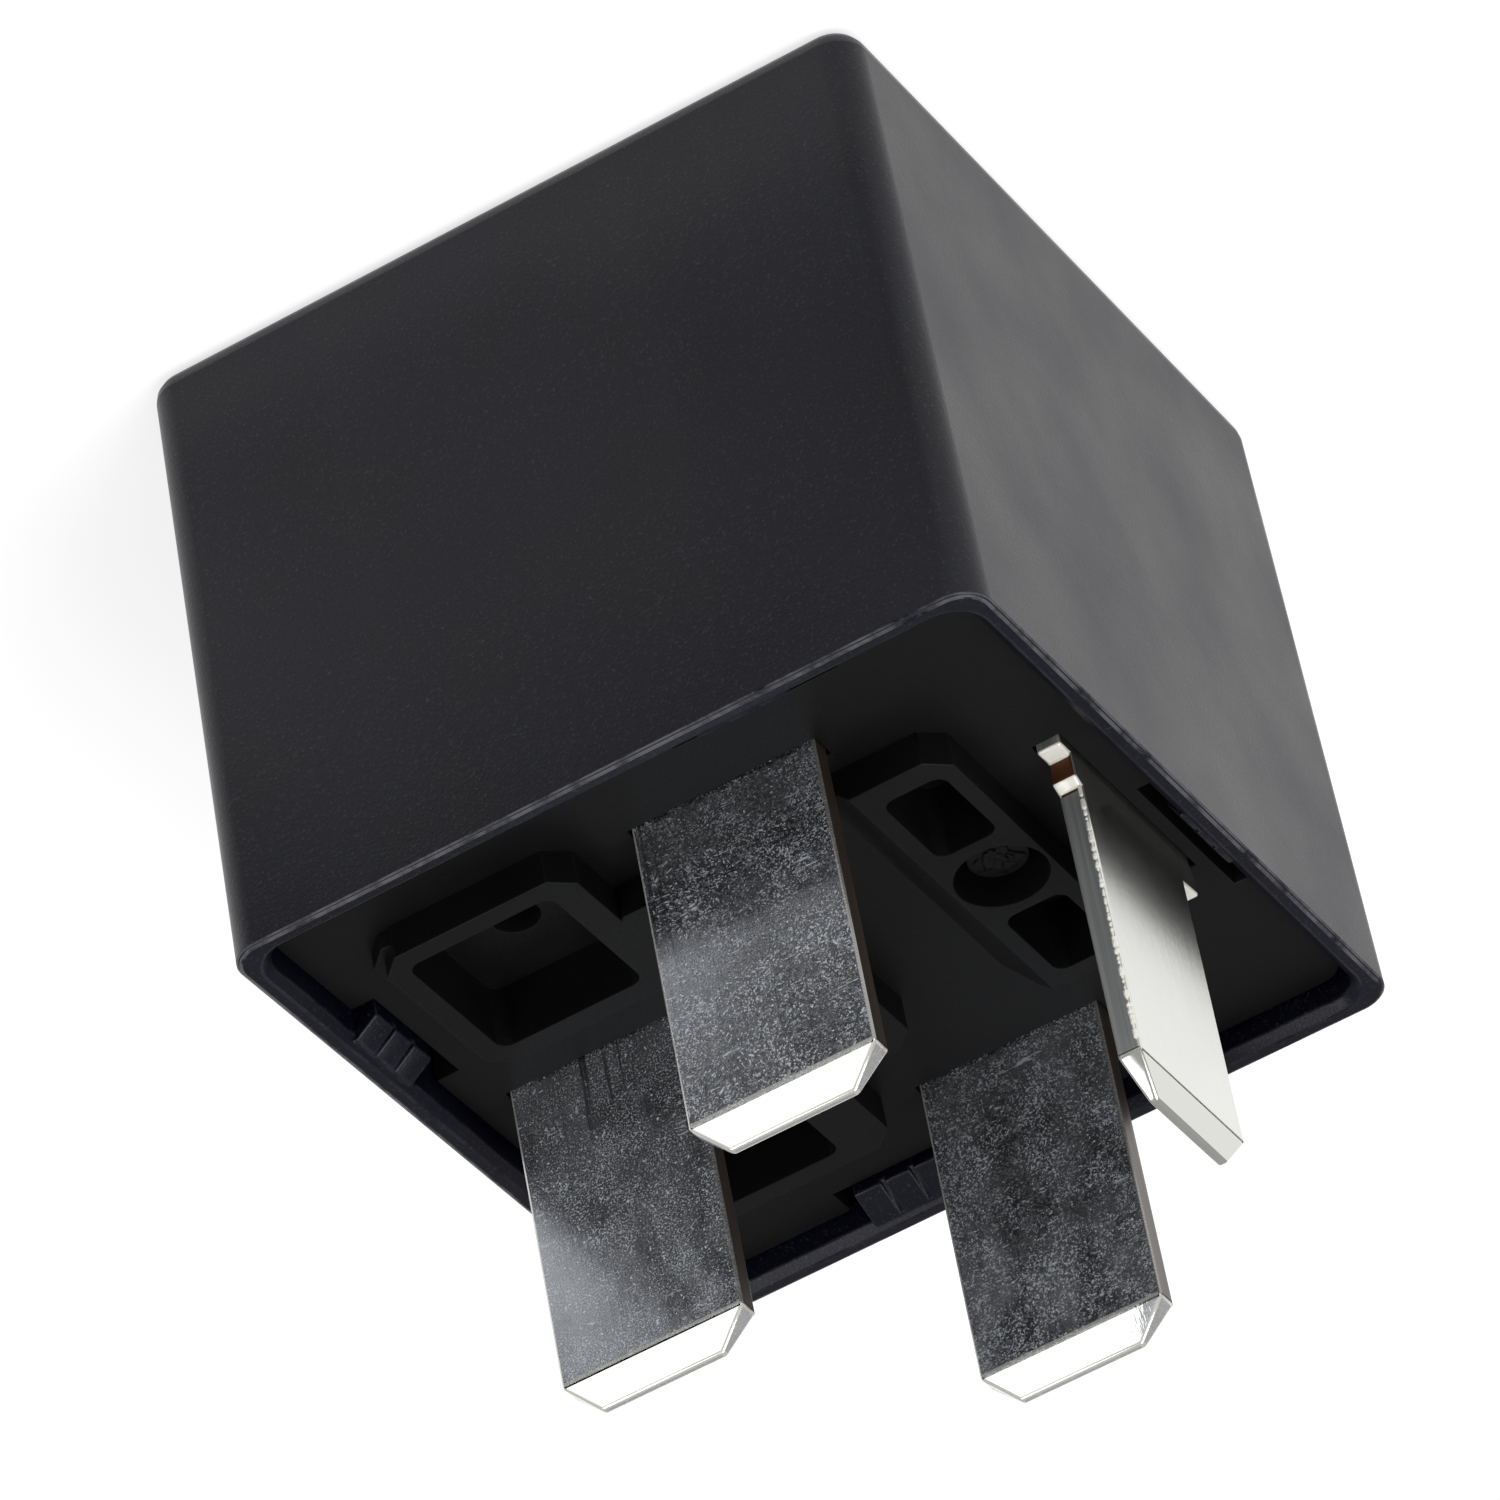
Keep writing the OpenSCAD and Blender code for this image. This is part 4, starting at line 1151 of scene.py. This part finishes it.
@dataclass
class Magnet:
    """The iron circuit with its coil: yoke, core, bobbin, winding, tape and leads.

    The wire has its turns, the sides of its section, the steps of one turn and its radius. The solid under
    it sinks to a share of its own radius.
    """

    yoke_round: float = 0.08 * MM
    core_round: float = 0.1 * MM
    stop_round: float = 0.07 * MM
    bobbin_round: float = 0.06 * MM
    tape_round: float = 0.03 * MM
    rivet_dome: float = 0.18 * MM
    turns: int = 46
    sides: int = 6
    steps: int = 40
    wire_r: float = 0.09 * MM
    sink: float = 0.94
    weld: float = 0.001 * MM

    def build(self, iron: bpy.types.Material, bobbin: bpy.types.Material, copper: bpy.types.Material,
              tape: bpy.types.Material, rivet: bpy.types.Material) -> None:
        """Makes the magnet.

        Args:
            iron: The finish of the yoke, the core and the armature stop.
            bobbin: The bobbin's plastic.
            copper: The winding's enamelled wire.
            tape: The tape round the winding.
            rivet: The rivets through the yoke.
        """
        for node, radius in (("yoke", self.yoke_round), ("core", self.core_round),
                             ("armature_stop", self.stop_round)):
            rounded(f"plated_{node}", Body.HOUSING, Slot.IRON, iron, node, radius)
        rounded("moulded_bobbin", Body.HOUSING, Slot.BOBBIN, bobbin, "bobbin", self.bobbin_round)
        self.wind(copper)
        rounded("wound_tape", Body.HOUSING, Slot.TAPE, tape, "coil_tape", self.tape_round)
        rounded("domed_yoke_rivets", Body.HOUSING, Slot.RIVET, rivet, "yoke_rivets", self.rivet_dome, 3)
        for node in ("coil_lead_start", "coil_lead_finish"):
            dress(node, copper)

    def wind(self, copper: bpy.types.Material) -> None:
        """Winds the coil's outer layer as one helix over the winding's own solid.

        Args:
            copper: The wire's finish.
        """
        low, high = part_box("coil_winding")
        centre = (low + high) / 2
        reach = (high.x - low.x) / 2
        blank = Blank("coil_winding")
        inward = Matrix.Translation(centre) @ Matrix.Diagonal((self.sink, self.sink, 1.0, 1.0))
        bmesh.ops.transform(blank.bm, matrix=inward @ Matrix.Translation(-centre), verts=blank.bm.verts[:])
        rise = (high.z - low.z - 2 * self.wire_r) / self.turns
        start = Vector((centre.x + reach - self.wire_r, centre.y, low.z + self.wire_r))
        stand = Matrix.Translation(start) @ Matrix.Rotation(math.pi / 2, 4, "X")
        solid = set(blank.bm.faces)
        ring = bmesh.ops.create_circle(blank.bm, segments=self.sides, radius=self.wire_r, matrix=stand)
        edges = {edge for vert in ring["verts"] for edge in vert.link_edges}
        bmesh.ops.spin(
            blank.bm, geom=list(edges), cent=centre, axis=(0.0, 0.0, 1.0), dvec=(0.0, 0.0, rise / self.steps),
            angle=2 * math.pi, steps=self.steps, use_merge=False, use_duplicate=False)
        turn = [face for face in blank.bm.faces if face not in solid]
        for count in range(1, self.turns):
            copy = bmesh.ops.duplicate(blank.bm, geom=turn)
            verts = [item for item in copy["geom"] if isinstance(item, bmesh.types.BMVert)]
            bmesh.ops.translate(blank.bm, vec=(0.0, 0.0, count * rise), verts=verts)
        bmesh.ops.remove_doubles(blank.bm, verts=blank.bm.verts, dist=self.weld)
        ends = [edge for edge in blank.bm.edges if edge.is_boundary]
        bmesh.ops.holes_fill(blank.bm, edges=ends, sides=self.sides)
        bmesh.ops.recalc_face_normals(blank.bm, faces=blank.bm.faces[:])
        blank.piece("wound_copper", Body.HOUSING, Slot.COPPER, copper, "coil_winding")


@dataclass
class Switch:
    """The moving armature with its leaf spring, and the pair of contacts."""

    armature_round: float = 0.07 * MM
    contact_dome: float = 0.22 * MM
    rivet_dome: float = 0.15 * MM
    strip_round: float = 0.03 * MM
    strip_angle: float = 40.0
    bow_above: float = 1.5 * MM
    bow_below: float = 5.0 * MM

    def build(self, iron: bpy.types.Material, rivet: bpy.types.Material, bronze: bpy.types.Material,
              silver: bpy.types.Material) -> None:
        """Makes the switch.

        Args:
            iron: The armature's plating.
            rivet: The rivets between spring and armature.
            bronze: The spring's strip.
            silver: The contacts.
        """
        rounded("plated_armature", Body.ARMATURE, Slot.IRON, iron, "armature", self.armature_round)
        rounded("domed_armature_rivets", Body.ARMATURE, Slot.RIVET, rivet, "armature_rivets",
                self.rivet_dome, 3)
        for node, body in (("moving_contact", Body.ARMATURE), ("fixed_contact", Body.HOUSING)):
            rounded(f"domed_{node}", body, Slot.SILVER, silver, node, self.contact_dome, 4)
        self.spring(bronze)

    def spring(self, bronze: bpy.types.Material) -> None:
        """Makes the leaf spring, which bends in its bow as the armature turns.

        Args:
            bronze: Its finish.
        """
        pivot = Vector(frame["record"]["behaviour"]["joints"][0]["pos_m"])
        strip = Blank("contact_spring")
        strip.soften(strip.edges(self.strip_angle), self.strip_round, segments=1)
        made = strip.shape("bent_spring", bronze)
        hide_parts("contact_spring")
        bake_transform(made, Body.HOUSING.value, Body.ARMATURE.value,
                 start=tuple(pivot + Vector((0.0, 0.0, self.bow_above))),
                 end=tuple(pivot - Vector((0.0, 0.0, self.bow_below))))


@dataclass
class Resistor:
    """The suppression resistor across the coil."""

    end_round: float = 0.25 * MM

    def build(self, coat: bpy.types.Material, wire: bpy.types.Material) -> None:
        """Makes the resistor.

        Args:
            coat: Its banded coat.
            wire: Its leads.
        """
        rounded("banded_resistor", Body.HOUSING, Slot.RESISTOR, coat, "resistor_body", self.end_round, 3)
        for node in ("resistor_lead_a", "resistor_lead_b"):
            dress(node, wire)


# Studio --------------------------------------------------------------------------------------


@dataclass(frozen=True)
class Card:
    """A matt card that lies on the floor: its tone, and its lowest and highest corners in X and Y."""

    name: str
    tone: float
    low: Span
    high: Span


@dataclass(frozen=True)
class Lamp:
    """A square soft lamp: where it hangs, the length of its side, and its power in watts."""

    name: str
    place: Triple
    side: float
    power: float


@dataclass
class Studio:
    """Pale floor, soft lamps, cards for the blades to mirror, and the camera."""

    target: Vector = Vector((0.397 * MM, -0.858 * MM, 14.0 * MM))
    distance: float = 308.3 * MM
    heading: float = 23.944
    elevation: float = 37.543
    roll: float = -168.6
    lens: float = 244.1
    sensor: float = 36.0
    clip_start: float = 0.01
    floor_size: float = 6.0
    floor_drop: float = 0.02 * MM
    floor_colour: Colour = (0.8, 0.8, 0.8)
    floor_seen: Colour = (0.45, 0.45, 0.45)
    floor_glow: float = 0.69
    room: Colour = (0.36, 0.36, 0.36)
    card_lift: float = 0.2 * MM
    cards: tuple[Card, ...] = (
        Card("black_card", 0.02, (0 * MM, -80 * MM), (16 * MM, -37 * MM)),
        Card("black_card_far", 0.03, (16 * MM, -80 * MM), (50 * MM, -42 * MM)),
        Card("grey_card", 0.55, (20 * MM, -42 * MM), (50 * MM, -28 * MM)),
        Card("pale_card", 0.65, (-20 * MM, -45 * MM), (0 * MM, -18 * MM)),
        Card("pale_card_front", 0.84, (0 * MM, -31 * MM), (16 * MM, -16 * MM)),
    )
    lamps: tuple[Lamp, ...] = (
        Lamp("key", (-0.35, -0.1, 0.6), 0.5, 3.4),
        Lamp("fill", (0.35, -0.35, 0.5), 0.4, 1.35),
    )

    def camera(self) -> None:
        """Makes the camera, rolled so that the blades point down in the picture."""
        turn, rise, roll = (math.radians(a) for a in (self.heading, self.elevation, self.roll))
        ahead = Vector((math.sin(turn) * math.cos(rise), math.cos(turn) * math.cos(rise), -math.sin(rise)))
        upright = Vector((0, 0, 1)) - ahead.z * ahead
        upright.normalize()
        up = math.cos(roll) * upright + math.sin(roll) * ahead.cross(upright)
        data = bpy.data.cameras.new("camera")
        data.lens = self.lens
        data.sensor_width = self.sensor
        data.clip_start = self.clip_start
        made = add_object("camera", data)
        axes = Matrix((ahead.cross(up), up, -ahead)).transposed().to_4x4()
        made.matrix_world = Matrix.Translation(self.target - self.distance * ahead) @ axes
        bpy.context.scene.camera = made

    def flat_square(self, name: str, side: float, placed: Matrix,
                    material: bpy.types.Material) -> bpy.types.Object:
        """Makes a flat square of the studio's own.

        Args:
            name: Its name.
            side: The length of its side.
            placed: Where it lies.
            material: Its finish.

        Returns:
            The new object.
        """
        mesh = bpy.data.meshes.new(name)
        bm = bmesh.new()
        bmesh.ops.create_grid(bm, x_segments=1, y_segments=1, size=side / 2, matrix=placed)
        bm.to_mesh(mesh)
        bm.free()
        mesh.materials.append(material)
        made = add_object(name, mesh)
        return made

    def floor(self) -> None:
        """Makes the pale floor, which shows white to the eye and in reflections and keeps the shadow."""
        material, sheet = begin_material("pale_floor")
        matt = sheet.add("ShaderNodeBsdfDiffuse")
        sheet.feed(matt.inputs["Color"], self.floor_colour)
        faint = sheet.add("ShaderNodeBsdfDiffuse")
        sheet.feed(faint.inputs["Color"], self.floor_seen)
        glow = sheet.add("ShaderNodeEmission")
        glow.inputs["Strength"].default_value = self.floor_glow
        both = sheet.add("ShaderNodeAddShader")
        sheet.feed(both.inputs[0], faint.outputs[0])
        sheet.feed(both.inputs[1], glow.outputs[0])
        seen = sheet.add("ShaderNodeLightPath")
        direct = sheet.math("MAXIMUM", seen.outputs["Is Camera Ray"], seen.outputs["Is Glossy Ray"])
        pick = sheet.add("ShaderNodeMixShader")
        sheet.feed(pick.inputs[0], sheet.math("MAXIMUM", direct, seen.outputs["Is Transmission Ray"]))
        sheet.feed(pick.inputs[1], matt.outputs[0])
        sheet.feed(pick.inputs[2], both.outputs[0])
        sheet.feed(sheet.add("ShaderNodeOutputMaterial").inputs["Surface"], pick.outputs[0])
        self.flat_square("floor", self.floor_size, Matrix.Translation((0.0, 0.0, -self.floor_drop)), material)

    def lay_cards(self) -> None:
        """Lays dark and pale cards beside the relay, which show only in what mirrors them."""
        for card in self.cards:
            material, sheet = begin_material(card.name)
            matt = sheet.add("ShaderNodeBsdfDiffuse")
            sheet.feed(matt.inputs["Color"], (card.tone, card.tone, card.tone))
            sheet.feed(sheet.add("ShaderNodeOutputMaterial").inputs["Surface"], matt.outputs[0])
            (x0, y0), (x1, y1) = card.low, card.high
            middle = Matrix.Translation(((x0 + x1) / 2, (y0 + y1) / 2, self.card_lift))
            spread = Matrix.Diagonal((x1 - x0, y1 - y0, 1.0, 1.0))
            laid = self.flat_square(card.name, 1.0, middle @ spread, material)
            laid.visible_camera = False
            laid.visible_diffuse = False
            laid.visible_shadow = False

    def hang_lamps(self) -> None:
        """Hangs the soft lamps, each facing the relay."""
        for lamp in self.lamps:
            data = bpy.data.lights.new(lamp.name, "AREA")
            data.size = lamp.side
            data.energy = lamp.power
            made = add_object(lamp.name, data)
            made.location = lamp.place
            made.rotation_euler = (self.target - Vector(lamp.place)).to_track_quat("-Z", "Y").to_euler()

    def build(self) -> None:
        """Sets up the whole studio."""
        self.camera()
        self.floor()
        self.lay_cards()
        self.hang_lamps()
        world = bpy.data.worlds.new("room")
        world.use_nodes = True
        world.node_tree.nodes["Background"].inputs[0].default_value = (*self.room, 1.0)
        bpy.context.scene.world = world
        bpy.context.scene.view_settings.view_transform = "Standard"


# The whole -----------------------------------------------------------------------------------


def build_relay(effects: Effects) -> None:
    """Makes every finish and gives it to the sub-assembly that wears it.

    Args:
        effects: The shared effects.
    """
    cover = PlasticFinish("moulded_cover", (0.0020, 0.0024, 0.0072), (0.09, 0.09, 0.10), roughness=0.34,
                          ior=1.33, speck=0.35, flow=0.02, wear=0.38)
    base = PlasticFinish("moulded_base", (0.0037, 0.0037, 0.0038), (0.02, 0.02, 0.02), roughness=0.5,
                         ior=1.25, speck=0.3, flow=0.02, wear=0.5)
    Housing().build(cover.material(effects), base.material(effects))
    # Two copies of one plating: the second has more film, painted paler against the shade that falls on the
    # other two blades
    tin = TinFinish("tin_plate", haze_share=0.05, crystal_share=0.52)
    paler_against_shade = TinFinish("tin_plate_paler_against_shade", haze_share=0.2, crystal_share=0.62)
    bright = TinFinish("tin_plate_bright", (0.70, 0.70, 0.66), cut=(0.30, 0.31, 0.31), cut_metal=0.5,
                       coined=(0.62, 0.62, 0.58), roughness=0.2, grain_depth=0.0015 * MM, haze_share=0.04,
                       crystal_share=0.05, glint_point_share=0.1, scratch_share=0.12, edge_sheen_share=0.15,
                       wiped=0.12)
    Terminals().build(tin.material(effects), paler_against_shade.material(effects), bright.material(effects))
    iron = MetalFinish("zinc_plated_iron", (0.50, 0.50, 0.49), (0.36, 0.35, 0.33), 0.32).material(effects)
    rivet = MetalFinish("bright_rivet", (0.58, 0.58, 0.58), (0.42, 0.41, 0.40), 0.25).material(effects)
    bronze = MetalFinish("bronze_strip", (0.72, 0.42, 0.20), (0.55, 0.31, 0.15), 0.28).material(effects)
    silver = MetalFinish("silver_contact", (0.88, 0.87, 0.85), (0.66, 0.62, 0.56), 0.22).material(effects)
    copper = MetalFinish("copper_wire", (0.62, 0.26, 0.10), (0.45, 0.17, 0.06), 0.25).material(effects)
    wire = MetalFinish("tin_wire", (0.70, 0.70, 0.70), (0.5, 0.5, 0.5), 0.3).material(effects)
    bobbin = PlasticFinish("glass_filled_bobbin", (0.62, 0.57, 0.46), (0.75, 0.72, 0.64), ior=1.5, cloud=0.1)
    tape = PlasticFinish("amber_tape", (0.58, 0.36, 0.06), (0.7, 0.5, 0.16), 0.3, ior=1.5, cloud=0.1)
    Magnet().build(iron, bobbin.material(effects), copper, tape.material(effects), rivet)
    Switch().build(iron, rivet, bronze, silver)
    rust, black, ochre = (0.30, 0.10, 0.03), (0.02, 0.02, 0.02), (0.60, 0.38, 0.08)
    coat = BandedFinish("banded_coat", (0.12, 0.25, 0.38), (rust, black, ochre),
                        first=-0.9 * MM, pitch=0.75 * MM, width=0.3 * MM)
    Resistor().build(coat.material(effects), wire)


def main() -> None:
    """Builds the relay and then the studio."""
    logging.basicConfig(level=logging.INFO, format="%(name)s %(message)s")
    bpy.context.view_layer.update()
    build_relay(Effects())
    Studio().build()


if __name__ == "__main__":
    main()
